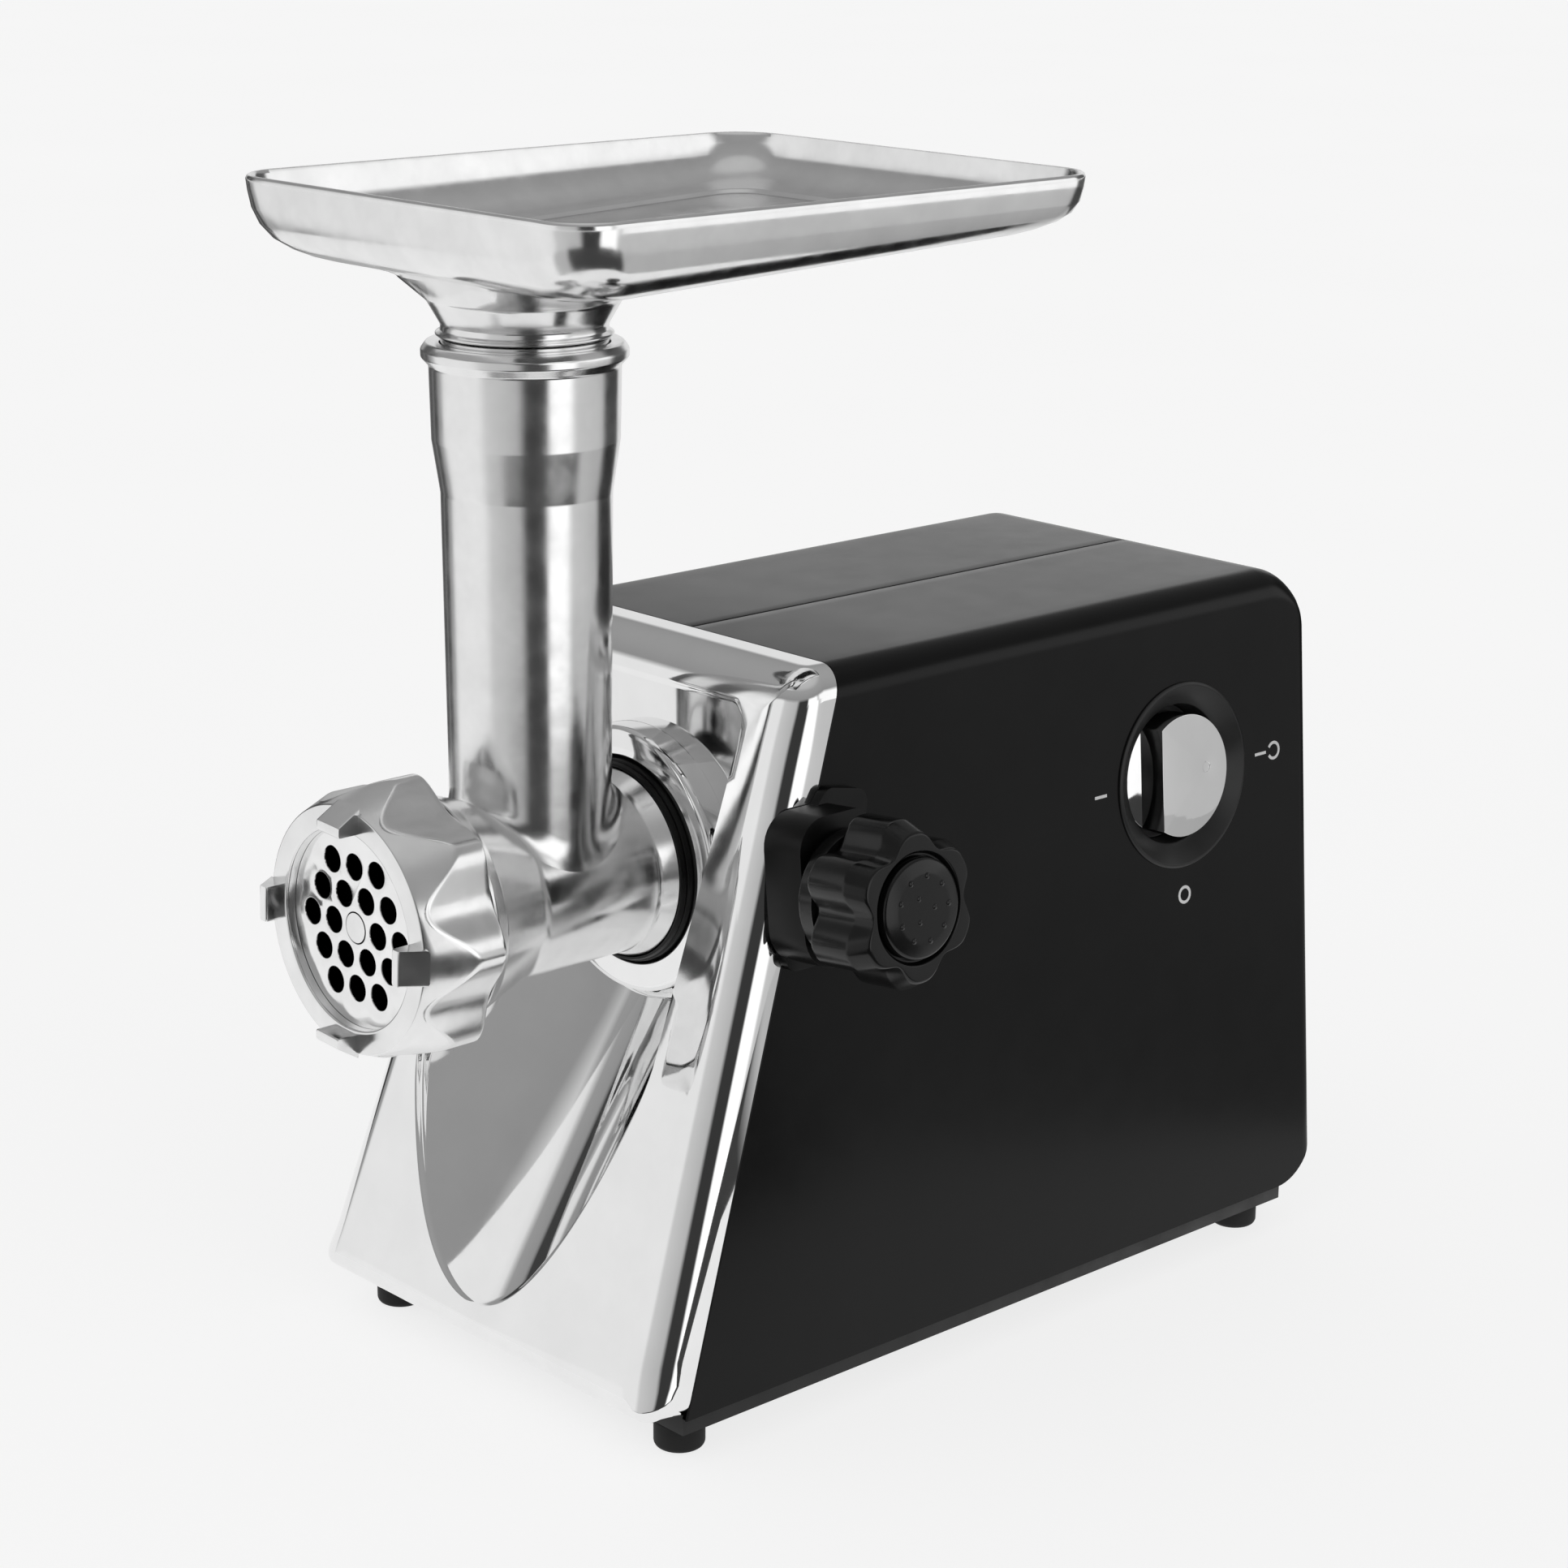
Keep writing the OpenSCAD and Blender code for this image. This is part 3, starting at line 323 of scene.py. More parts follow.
def coordinates(tree, stretch=(1, 1, 1)):
    where = tree.nodes.new("ShaderNodeTexCoord")
    scaled = tree.nodes.new("ShaderNodeMapping")
    scaled.inputs["Scale"].default_value = stretch
    tree.links.new(where.outputs["Object"], scaled.inputs["Vector"])
    return scaled.outputs["Vector"]


def noise(tree, scale, detail=3.0, roughness=0.55, stretch=(1, 1, 1)):
    texture = add(tree, "ShaderNodeTexNoise", Scale=scale, Detail=detail, Roughness=roughness)
    tree.links.new(coordinates(tree, stretch), texture.inputs["Vector"])
    return texture.outputs["Fac"]


def bands(tree, scale, axis, distortion=0.0):
    texture = add(tree, "ShaderNodeTexWave", Scale=scale, Distortion=distortion)
    texture.bands_direction = axis
    tree.links.new(coordinates(tree), texture.inputs["Vector"])
    return texture.outputs["Fac"]


def ramp(tree, source, stops):
    node = tree.nodes.new("ShaderNodeValToRGB")
    elements = node.color_ramp.elements
    elements.remove(elements[1])
    elements[0].position = stops[0][0]
    elements[0].color = (*stops[0][1], 1)
    for position, colour in stops[1:]:
        elements.new(position).color = (*colour, 1)
    tree.links.new(source, node.inputs["Fac"])
    return node.outputs["Color"]


def spread(tree, source, low, high, start=0.3, end=0.7):
    node = tree.nodes.new("ShaderNodeMapRange")
    node.inputs["From Min"].default_value = start
    node.inputs["From Max"].default_value = end
    node.inputs["To Min"].default_value = low
    node.inputs["To Max"].default_value = high
    tree.links.new(source, node.inputs["Value"])
    return node.outputs["Result"]


def bump(tree, height, strength, distance, under=None):
    node = add(tree, "ShaderNodeBump", Strength=strength, Distance=distance)
    tree.links.new(height, node.inputs["Height"])
    if under:
        tree.links.new(under, node.inputs["Normal"])
    return node.outputs["Normal"]


def blank(name):
    material = bpy.data.materials.new(name)
    material.use_nodes = True
    return material, material.node_tree, material.node_tree.nodes["Principled BSDF"]


def metal(
    name, dark, light, rough, grain=900.0, grain_depth=2e-6, swell=35.0, swell_depth=0.0, stretch=(1, 1, 1)
):
    """A metal with slight changes of tone, a roughness range, a fine grain and a long swell."""
    material, tree, shader = blank(name)
    shader.inputs["Metallic"].default_value = 1.0
    tone = ramp(tree, noise(tree, 60.0, 4.0), [(0.3, dark), (0.7, light)])
    tree.links.new(tone, shader.inputs["Base Color"])
    tree.links.new(spread(tree, noise(tree, 140.0, 5.0), *rough), shader.inputs["Roughness"])
    normal = bump(tree, noise(tree, grain, 3.0, 0.6, stretch), 0.35, grain_depth)
    if swell_depth:
        normal = bump(tree, noise(tree, swell, 2.0), 1.0, swell_depth, normal)
    tree.links.new(normal, shader.inputs["Normal"])
    return material


def moulded(name, dark, light, rough, specular, grain=1800.0, depth=4e-6, coat=0.0):
    """A moulded or painted surface with a fine grain."""
    material, tree, shader = blank(name)
    tone = ramp(tree, noise(tree, 45.0, 5.0), [(0.3, dark), (0.7, light)])
    tree.links.new(tone, shader.inputs["Base Color"])
    tree.links.new(spread(tree, noise(tree, 90.0, 4.0), *rough), shader.inputs["Roughness"])
    shader.inputs["Specular IOR Level"].default_value = specular
    if coat:
        shader.inputs["Coat Weight"].default_value = coat
        shader.inputs["Coat Roughness"].default_value = 0.12
    tree.links.new(bump(tree, noise(tree, grain, 2.0), 0.4, depth), shader.inputs["Normal"])
    return material


def striped(name, dark, light, rough, metallic, scale, axis, depth):
    """Fine parallel bands, as in stacked sheets or wound wire."""
    material, tree, shader = blank(name)
    shader.inputs["Metallic"].default_value = metallic
    lines = bands(tree, scale, axis, distortion=0.3)
    tree.links.new(ramp(tree, lines, [(0.15, dark), (0.6, light)]), shader.inputs["Base Color"])
    tree.links.new(spread(tree, noise(tree, 200.0), *rough), shader.inputs["Roughness"])
    tree.links.new(bump(tree, lines, 0.6, depth), shader.inputs["Normal"])
    return material


def grey(value):
    return (value, value, value)


def shaded_behind(material, y):
    """Darkens a material behind a plane across the head's axis, as inside a hole that no light gets into."""
    tree = material.node_tree
    shader = tree.nodes["Principled BSDF"]
    tone = shader.inputs["Base Color"].links[0].from_socket
    along = tree.nodes.new("ShaderNodeSeparateXYZ")
    tree.links.new(coordinates(tree), along.inputs["Vector"])
    start = at(0, y, 0).y
    depth = spread(tree, along.outputs["Y"], 1.0, 0.0, start, start + 0.6 * MM)
    shade = tree.nodes.new("ShaderNodeMix")
    shade.data_type = "RGBA"
    shade.inputs["A"].default_value = (0.004, 0.004, 0.004, 1)
    tree.links.new(depth, shade.inputs["Factor"])
    tree.links.new(tone, shade.inputs["B"])
    tree.links.new(shade.outputs["Result"], shader.inputs["Base Color"])
    return material


MATERIALS = {
    "housing_gloss": moulded("housing_gloss", grey(0.002), grey(0.0034), (0.21, 0.25), 0.19, 2600.0, 1.0e-6),
    "black_plastic": moulded("black_plastic", grey(0.006), grey(0.011), (0.28, 0.4), 0.4, 2200.0, 5e-6),
    "ring_black": moulded("ring_black", grey(0.0015), grey(0.003), (0.3, 0.4), 0.2, 2200.0, 5e-6),
    "base_black": moulded("base_black", grey(0.004), grey(0.008), (0.4, 0.55), 0.35),
    "rubber": moulded("rubber", grey(0.006), grey(0.012), (0.6, 0.8), 0.3, 1400.0, 1e-5),
    "chrome": metal("chrome", grey(0.86), grey(0.9), (0.02, 0.06), 700.0, 5e-7, 28.0, 2.5e-5),
    "cast_aluminium": metal("cast_aluminium", grey(0.8), grey(0.9), (0.15, 0.24), 900.0, 1.5e-6, 70.0, 8e-5),
    "tray_metal": metal("tray_metal", grey(0.78), grey(0.88), (0.1, 0.2), 1100.0, 3e-6, 55.0, 8e-5),
    "tool_steel": metal("tool_steel", grey(0.16), grey(0.22), (0.3, 0.42), 1500.0, 3e-6),
    "plate_steel": shaded_behind(
        metal("plate_steel", grey(0.86), grey(0.94), (0.12, 0.2), 1500.0, 2e-6), PLATE_FACE),
    "knob_gloss": moulded("knob_gloss", grey(0.003), grey(0.006), (0.16, 0.24), 0.36, 2200.0, 3e-6),
    "fastener_steel": metal("fastener_steel", grey(0.5), grey(0.62), (0.25, 0.38), 1300.0, 4e-6),
    "shaft_steel": metal("shaft_steel", grey(0.5), grey(0.66), (0.16, 0.26), 1500.0, 3e-6, stretch=(1, 8, 1)),
    "bronze": metal("bronze", (0.42, 0.24, 0.09), (0.58, 0.36, 0.15), (0.25, 0.4), 900.0, 6e-6),
    "gear_nylon": moulded("gear_nylon", (0.62, 0.6, 0.52), (0.74, 0.72, 0.64), (0.35, 0.5), 0.45),
    "gearbox_grey": moulded("gearbox_grey", grey(0.09), grey(0.13), (0.4, 0.6), 0.4, 900.0, 1.2e-5),
    "lamination": striped("lamination", grey(0.16), grey(0.4), (0.35, 0.5), 0.8, 320.0, "Y", 6e-5),
    "copper": striped("copper", (0.3, 0.09, 0.03), (0.72, 0.28, 0.12), (0.25, 0.4), 0.9, 420.0, "X", 1.2e-4),
    "carbon": moulded("carbon", grey(0.02), grey(0.045), (0.5, 0.7), 0.3, 1200.0, 1e-5),
    "bracket_alloy": metal("bracket_alloy", grey(0.45), grey(0.6), (0.3, 0.45), 600.0, 1.2e-5),
    "board_green": moulded("board_green", (0.02, 0.1, 0.035), (0.035, 0.16, 0.06), (0.3, 0.45), 0.5),
    "terminal_white": moulded("terminal_white", grey(0.55), grey(0.68), (0.35, 0.5), 0.4),
}


def dress_nodes():
    """Every carried-over CAD node gets its slot's material."""
    for part in SUBPARTS:
        node = frame["nodes"].get(part["node"])
        if node:
            node.data.materials.clear()
            node.data.materials.append(MATERIALS[part["material_slot"]])


# ---- bezel ---------------------------------------------------------------------------------------

BOTTOM, RIGHT, TOP = range(3)


def outline(insets, radii, per_edge=56, per_corner=10):
    """Rounded outline of the bezel seen from the front, inset on each side, as (x, z) points."""
    low = HOUSING_Z + insets[BOTTOM]
    high = HOUSING_TOP - insets[TOP]
    corners = []
    for side, z in ((1, low), (1, high), (-1, high), (-1, low)):
        width = half_w(z) - insets[RIGHT] / math.cos(SIDE_TILT)
        corners.append(Vector((side * width, z)))
    out = []
    for i in range(4):
        here = corners[i]
        to_last = (corners[i - 1] - here).normalized()
        to_next = (corners[(i + 1) % 4] - here).normalized()
        radius = radii[i]
        reach = radius / math.tan(to_last.angle(to_next) / 2)
        start = here + to_last * reach
        end = here + to_next * reach
        centre = here + (to_last + to_next).normalized() * radius / math.sin(to_last.angle(to_next) / 2)
        first = math.atan2(start.y - centre.y, start.x - centre.x)
        turn = (math.atan2(end.y - centre.y, end.x - centre.x) - first + math.pi) % (2 * math.pi) - math.pi
        for k in range(per_corner + 1):
            angle = first + turn * k / per_corner
            out.append(centre + radius * Vector((math.cos(angle), math.sin(angle))))
        following = corners[(i + 1) % 4]
        back = (here - following).normalized()
        onward = (corners[(i + 2) % 4] - following).normalized()
        next_start = following + back * radii[(i + 1) % 4] / math.tan(back.angle(onward) / 2)
        for k in range(1, per_edge):
            out.append(end.lerp(next_start, k / per_edge))
    return out


def soft_min(a, b, k):
    h = max(k - abs(a - b), 0) / k
    return min(a, b) - h * h * k / 4


def across(x):
    """Distance from the channel's middle, on a scale where both its flanks lie on one cylinder."""
    return (x - SCOOP_X) / (1.22 if x < SCOOP_X else 1.04)


def front_y(z):
    return seam_y(z) - BEZEL_D


def channel_y(x, z):
    """Surface of the channel, before the upright floor cuts it off."""
    u = min(abs(across(x)), SCOOP_R - 1)
    sag = SCOOP_R - math.sqrt(SCOOP_R ** 2 - u * u)
    middle = SCOOP_TIP[0] + (z - SCOOP_TIP[1]) * math.tan(SCOOP_LEAN)
    return middle - sag / math.cos(SCOOP_LEAN)


def recess_room(x, z):
    """Above zero inside the recess's outline on the bezel's front plane."""
    depth = (channel_y(x, z) - front_y(z)) * 1.6
    sides = soft_min(42.8 - x, x + 53.0, 4.0)
    room = soft_min(sides, (SCOOP_REAR - front_y(z)) * 2.2, 9.0)
    return soft_min(room, depth, 3.0)


def recess_y(x, z):
    return soft_min(channel_y(x, z), SCOOP_REAR, 5.0)


def recess_edge(direction, limit):
    """Distance from the head's axis, along a direction seen from the front, to the recess's outline."""
    near, beyond = COLLAR_R + 0.4, limit
    for _ in range(40):
        middle = (near + beyond) / 2
        if recess_room(middle * direction.x, HEAD_Z + middle * direction.y) > 0:
            near = middle
        else:
            beyond = middle
    return near


def bezel_rings():
    """Outer rings of the bezel, from the seam to the hole for the collar, as (x, depth y, z)."""
    flat = {"side": 11.0, "top": 9.0, "bottom": 6.5}
    rings = []
    outer = outline((0, 0, 0, 0), (5.0, EDGE_R, EDGE_R, 5.0))
    rings.append([(p.x, seam_y(p.y), p.y) for p in outer])
    steps = 9
    for k in range(steps + 1):
        t = math.pi / 2 * k / steps
        inset = [flat["bottom"] * (1 - math.cos(t)), flat["side"] * (1 - math.cos(t)),
                 flat["top"] * (1 - math.cos(t)), flat["side"] * (1 - math.cos(t))]
        radii = [max(7.0 - inset[1], 0.4), max(EDGE_R - inset[1], 0.4)]
        ring = outline(inset, (radii[0], radii[1], radii[1], radii[0]))
        out = []
        for p in ring:
            blend_top = min(max((p.y - 185) / 15, 0), 1)
            blend_low = min(max((26 - p.y) / 10, 0), 1)
            r = flat["side"] + (flat["top"] - flat["side"]) * blend_top
            r += (flat["bottom"] - flat["side"]) * blend_low
            depth = BEZEL_D - r * (1 - math.sin(t))
            out.append((p.x, seam_y(p.y) - depth, p.y))
        rings.append(out)
    inner = [Vector((x, z - HEAD_Z)) for x, _, z in rings[-1]]
    edges = [recess_edge(p.normalized(), p.length - 0.5) for p in inner]
    for share in (0.35, 0.7, 1.0):
        ring = []
        for p, edge in zip(inner, edges):
            q = p.normalized() * (p.length + (edge - p.length) * share)
            ring.append((q.x, front_y(HEAD_Z + q.y), HEAD_Z + q.y))
        rings.append(ring)
    for step in (0.15, 0.4, 0.75, 1.15, 1.6, 2.1, 2.7):
        rings.append([recess_point(p.normalized(), edge, step) for p, edge in zip(inner, edges)])
    for share in [k / 16 for k in range(1, 17)]:
        ring = []
        for p, edge in zip(inner, edges):
            ring.append(recess_point(p.normalized(), edge, 2.7 + (edge - 2.7 - COLLAR_R - 0.1) * share))
        rings.append(ring)
    return rings


def recess_point(direction, edge, step):
    """A point of the recess, a step inside its edge towards the collar. Its wall is rounded at both ends."""
    reach = max(edge - step, COLLAR_R + 0.1)
    x, z = reach * direction.x, HEAD_Z + reach * direction.y
    t = min(step / 2.1, 1)
    t = t * t * (3 - 2 * t)
    return (x, front_y(z) + (recess_y(x, z) - front_y(z)) * t, z)


def front_bezel():
    outer = bezel_rings()
    inner = []
    for ring in reversed(outer):
        middle = HEAD_Z - 30
        inner.append([(x * 0.972, y + SKIN, middle + (z - middle) * 0.982) for x, y, z in ring])
    inner[-1] = [(x * 0.972, y, HEAD_Z - 30 + (z - HEAD_Z + 30) * 0.982) for x, y, z in outer[0]]
    rings = [[at(*p) for p in ring] for ring in outer + inner]
    points, faces = skin_rings(rings)
    piece = mesh_object("front_bezel_look", points, faces, 40)
    place_piece(piece, "machine", "front_bezel", "chrome")


def socket():
    collar = turned("socket_collar_look", [
        (RING_R, -215.5, 0.8), (COLLAR_R, -215.5, 2.0), (COLLAR_R, -207, 0), (RING_R, -207, 0)], along_head)
    place_piece(collar, "machine", "socket_collar", "chrome")
    ring = turned("socket_ring_look", [
        (26.9, -218.2, 0.2), (27.6, -218.2, 0.3), (28.0, -216.9, 0.2), (27.7, -216.6, 0.1),
        (28.4, -216.4, 0.3), (RING_R - 0.1, -213.6, 0.3), (RING_R - 0.1, -199, 0),
        (26.9, -199, 0)], along_head)
    place_piece(ring, "machine", "socket_ring", "ring_black", "black_plastic")


# ---- head ----------------------------------------------------------------------------------------

def thread(t, r, a):
    """Cuts the thread of the barrel's mouth into its radius."""
    if r < THREAD_R - 0.05 or a > THREAD_REAR or a < THREAD_FRONT:
        return r
    turn = ((a - THREAD_PITCH * t / (2 * math.pi)) / THREAD_PITCH) % 1
    return r - THREAD_DEPTH * abs(2 * turn - 1)


def barrel():
    corners = [
        (25.8, -199, 0.5), (25.8, -203, 0.3), (FLANGE_R, -203, 0.5), (FLANGE_R, -218, 1.2),
        (BARREL_R, -223, 5), (BARREL_R, -262, 12), (THREAD_R - 2.4, -280, 6), (THREAD_R, -284.5, 1.2)]
    profile = fillet([(21.9, -199, 0)] + corners + [(THREAD_R, -286.5, 0)], False, 8)
    for k in range(44):
        profile.append(Vector((THREAD_R, THREAD_REAR - 17 * k / 43)))
    profile += [Vector((THREAD_R - 0.6, -304.5)), Vector((31.3, -304.5)), Vector((31.3, -300.7))]
    profile += [Vector((25.5, -300.7)), Vector((25.5, -292)), Vector((21.9, -291))]
    return lathe("barrel", profile, along_head, 144, thread)


def tower():
    """The feed tube, flared onto the barrel with a fillet that follows the barrel's surface."""
    count = 144
    reach = 5.0
    rings = []
    wall = fillet([
        (22.1, 262, 0.3), (22.1, 289.5, 0.8), (25.6, 289.5, 1.0), (27.0, 287.6, 1.2), (27.0, 285.6, 1.2),
        (25.0, 283.4, 1.6), (24.6, 264, 5), (22.5, 250, 6), (TUBE_R, 180, 0)], False)
    for r, z in wall:
        rings.append([at(r * math.cos(a), TUBE_Y + r * math.sin(a), z) for a in turns(count)])
    for k in range(13):
        t = k / 12
        rings.append([skirt_point(a, t, reach) for a in turns(count)])
    rings.append([skirt_point(a, 1.0, reach, FOOT_SINK) for a in turns(count)])
    rings.append([skirt_point(a, 1.0, -1.9, FOOT_SINK) for a in turns(count)])
    for z in (180, 262):
        rings.append([at(BORE_R * math.cos(a), TUBE_Y + BORE_R * math.sin(a), z) for a in turns(count)])
    points, faces = skin_rings(rings)
    return mesh_object("tower", points, faces, 35)


def turns(count):
    return [2 * math.pi * i / count for i in range(count)]


def skirt_point(angle, t, reach, sink=0.03):
    """A point of the fillet, from the tube's wall at t 0 to the barrel's surface at t 1."""
    x, y = TUBE_R * math.cos(angle), TUBE_R * math.sin(angle)
    foot = BARREL_R * math.asin(x / BARREL_R)
    join = Vector((x, TUBE_Y + y, HEAD_Z + math.sqrt(BARREL_R ** 2 - x * x)))
    above = join + Vector((0, 0, abs(reach) * 1.2))
    end_arc = (foot + reach * math.cos(angle)) / BARREL_R
    r = BARREL_R - sink
    end_y = TUBE_Y + y + reach * math.sin(angle)
    end = Vector((r * math.sin(end_arc), end_y, HEAD_Z + r * math.cos(end_arc)))
    p = (1 - t) ** 2 * above + 2 * t * (1 - t) * join + t * t * end
    return at(*p)


def head():
    body = barrel()
    corners = [(BORE_R, 150, 0), (BORE_R, 175, 0), (0.01, 175, 0), (0.01, 150, 0)]
    bore = turned("bore", corners, along_tube, 96)
    body = cut(body, [bore])
    body.name = "head_barrel_look"
    place_piece(body, "head", "head_casting", "cast_aluminium")
    top = tower()
    top.name = "head_tower_look"
    place_piece(top, "head", "head_casting", "cast_aluminium")


# ---- nut and plate -------------------------------------------------------------------------------

def ridge_radius(angle):
    """Radius of the nut's side: eight ridges with wide hollows between them."""
    phase = (angle - NUT_TURN) * RIDGES
    return RIDGE_R - HOLLOW * abs(math.sin(phase / 2)) ** 1.7


def ring_nut():
    count = 320
    angles = turns(count)
    side = [ridge_radius(a) for a in angles]

    def ring(radii, lengths):
        return [along_head(a, r * math.cos(t), r * math.sin(t)) for t, r, a in zip(angles, radii, lengths)]

    def even(r, a):
        return ring([r] * count, [a] * count)

    rings = [even(r, a) for r, a in fillet([
        (34.0, NUT_REAR, 0), (33.45, NUT_REAR, 0), (33.45, -306.1, 0), (26.8, -306.1, 0),
        (26.8, HEAD_END, 0.9), (CONE_R, HEAD_END, 0.5), (CONE_R + 0.3, HEAD_END + 0.5, 0)], False)]
    edge = [HEAD_END + 0.5 + (s - CONE_R - 0.3) / CONE_SLOPE for s in side]
    for t in (0.25, 0.5, 0.75):
        rings.append(ring([CONE_R + 0.3 + (s - CONE_R - 0.3) * t for s in side],
                          [HEAD_END + 0.5 + (e - HEAD_END - 0.5) * t for e in edge]))
    for k in range(6):
        t = k / 5
        rings.append(ring([s - 1.1 * CONE_SLOPE * (1 - t) ** 2 for s in side],
                          [e - 1.1 * (1 - t) ** 2 + 1.1 * t * t for e in edge]))
    for t in [k / 12 for k in range(1, 12)]:
        rings.append(ring(side, [e + 1.1 + (NUT_REAR - 1.8 - e) * t for e in edge]))
    for k in range(5):
        angle = math.pi / 2 * k / 4
        rings.append(ring([s - 0.7 * (1 - math.cos(angle)) for s in side],
                          [NUT_REAR - 0.7 * (1 - math.sin(angle))] * count))
    points, faces = skin_rings(rings)
    body = mesh_object("ring_nut_look", points, faces, 50)
    place_piece(body, "nut", "ring_nut", "cast_aluminium")
    for k in range(4):
        tab = nut_tab(NUT_TURN + math.radians(90 * k))
        tab.name = f"ring_nut_tab_{k + 1}"
        place_piece(tab, "nut", "ring_nut", "cast_aluminium")


def nut_tab(angle):
    """One of the blocks that stand ahead of the nut's front, its back following the nut's cone."""
    slope = (33.9 - 30.2) / 6.0
    side = fillet([(27.4, HEAD_END + 1, 0), (27.4, TAB_FRONT, 0.8), (30.2, TAB_FRONT, 0.9),
                   (33.9 + slope, HEAD_END + 1, 0)], True)

    def place(r, a, s):
        u = r * math.cos(angle) - s * math.sin(angle)
        return along_head(a, u, r * math.sin(angle) + s * math.cos(angle))

    return prism("nut_tab", side, place, TAB_HALF, 0.7)


def prism(name, outline2d, place, half, rounding):
    """An outline drawn in two directions and given a thickness in the third, with rounded end edges."""
    middle = sum(outline2d, Vector((0, 0))) / len(outline2d)
    reach = max((p - middle).length for p in outline2d)
    levels = [(-half, 1.0), (-half + rounding * 0.3, 0.45), (-half + rounding, 0.0)]
    levels += [(-s, e) for s, e in reversed(levels)]
    rings = []
    for s, inset in levels:
        scale = 1 - inset * rounding / reach
        rings.append([place(*(middle + (p - middle) * scale), s) for p in outline2d])
    points, faces = skin_rings(rings, False)
    n = len(outline2d)
    faces.append(tuple(range(n)))
    faces.append(tuple(range(len(points) - n, len(points))))
    return mesh_object(name, points, faces)


# ---- tray ----------------------------------------------------------------------------------------

def tray_ring(inset, z_front, z_rear, radius, per_edge=24, per_corner=12):
    """Rounded rectangle of the tray, inset from its rim, on a plane that may slope along Y."""
    x = TRAY_W / 2 - inset
    y0 = TRAY_FRONT + inset
    y1 = TRAY_FRONT + TRAY_L - inset
    corners = [(x, y0), (x, y1), (-x, y1), (-x, y0)]
    flat = []
    for i, (cx, cy) in enumerate(corners):
        sx = 1 if cx > 0 else -1
        sy = 1 if cy == y1 else -1
        centre = Vector((cx - sx * radius, cy - sy * radius))
        first = math.radians(-90 + 90 * i)
        for k in range(per_corner + 1):
            angle = first + math.pi / 2 * k / per_corner
            flat.append(centre + radius * Vector((math.cos(angle), math.sin(angle))))
        nx, ny = corners[(i + 1) % 4]
        tx = 1 if nx > 0 else -1
        ty = 1 if ny == y1 else -1
        following = Vector((nx - tx * radius, ny - ty * radius))
        turn = first + math.pi / 2
        start = flat[-1]
        end = following + radius * Vector((math.cos(turn), math.sin(turn)))
        for k in range(1, per_edge):
            flat.append(start.lerp(end, k / per_edge))
    ring = []
    for p in flat:
        share = (p.y - TRAY_FRONT) / TRAY_L
        ring.append(Vector((p.x, p.y, z_front + (z_rear - z_front) * share)))
    return ring


def tray_circle(like, radius, z):
    """A circle round the feed tube whose points match the directions of another ring's points."""
    out = []
    for p in like:
        away = Vector((p.x, p.y - TUBE_Y))
        r = min(radius, away.length - (36 - radius) * 0.06)
        d = away.normalized()
        out.append(Vector((r * d.x, TUBE_Y + r * d.y, z)))
    return out


def tray():
    """One closed skin: down the pan's outside, round its neck, up the inside. A level is one tray_ring."""
    outside = [
        (0.0, 327.9, 327.9, 15), (0.25, 325.0, 325.2, 15), (0.9, 320.5, 321.5, 15), (2.2, 316.2, 318.6, 15.5),
        (4.4, 312.6, 316.6, 16), (7.8, 309.8, 315.0, 16), (11.4, 308.0, 313.9, 15), (15.5, 306.6, 313.2, 13)]
    inside = [
        (18.5, 307.8, 314.5, 10), (17.4, 307.9, 314.6, 10.5), (16.9, 308.6, 315.3, 11),
        (15.6, 308.8, 315.5, 11.5), (13.2, 309.3, 315.9, 12.5), (9.9, 311.2, 316.9, 13.5),
        (6.8, 313.9, 318.4, 14), (4.4, 317.4, 320.4, 14), (3.0, 321.6, 323.0, 14), (2.2, 325.6, 326.0, 14),
        (1.7, 327.9, 327.9, 14), (1.4, 328.8, 328.8, 14), (0.8, 329.0, 329.0, 14.5), (0.25, 328.7, 328.7, 15)]
    rings = [tray_ring(*level) for level in outside]
    like = rings[-1]
    neck = fillet([
        (34.5, 306.9, 0), (33, 306.4, 3), (25.5, 300.5, 5), (21.8, 294, 1.5), (21.8, 292.6, 0.4),
        (23.6, 291.6, 0.8), (21.8, 290.4, 0.4), (21.8, 262.5, 0.5), (20.0, 262.5, 0.5),
        (20.0, 294.5, 5), (24, 301.5, 6), (32, 308.0, 3), (34, 308.5, 0)], False)
    for r, z in neck:
        rings.append(tray_circle(like, r, z))
    rings += [tray_ring(*level) for level in inside]
    points, faces = skin_rings([[at(*p) for p in ring] for ring in rings])
    piece = mesh_object("tray_look", points, faces, 50)
    place_piece(piece, "tray", "tray", "tray_metal")


# ---- lock ----------------------------------------------------------------------------------------

def knob_wave(angle, r, a):
    """Presses six wide hollows into the knob's side, deepest at its face."""
    if r < SKIRT_R + 0.2 and a < KNOB_FACE - 6:
        return r
    hollow = (0.5 - 0.5 * math.cos((angle - math.pi / 2) * LOBES)) ** 1.6
    return r - max(r - KNOB_VALLEY, 0) * 0.72 * hollow


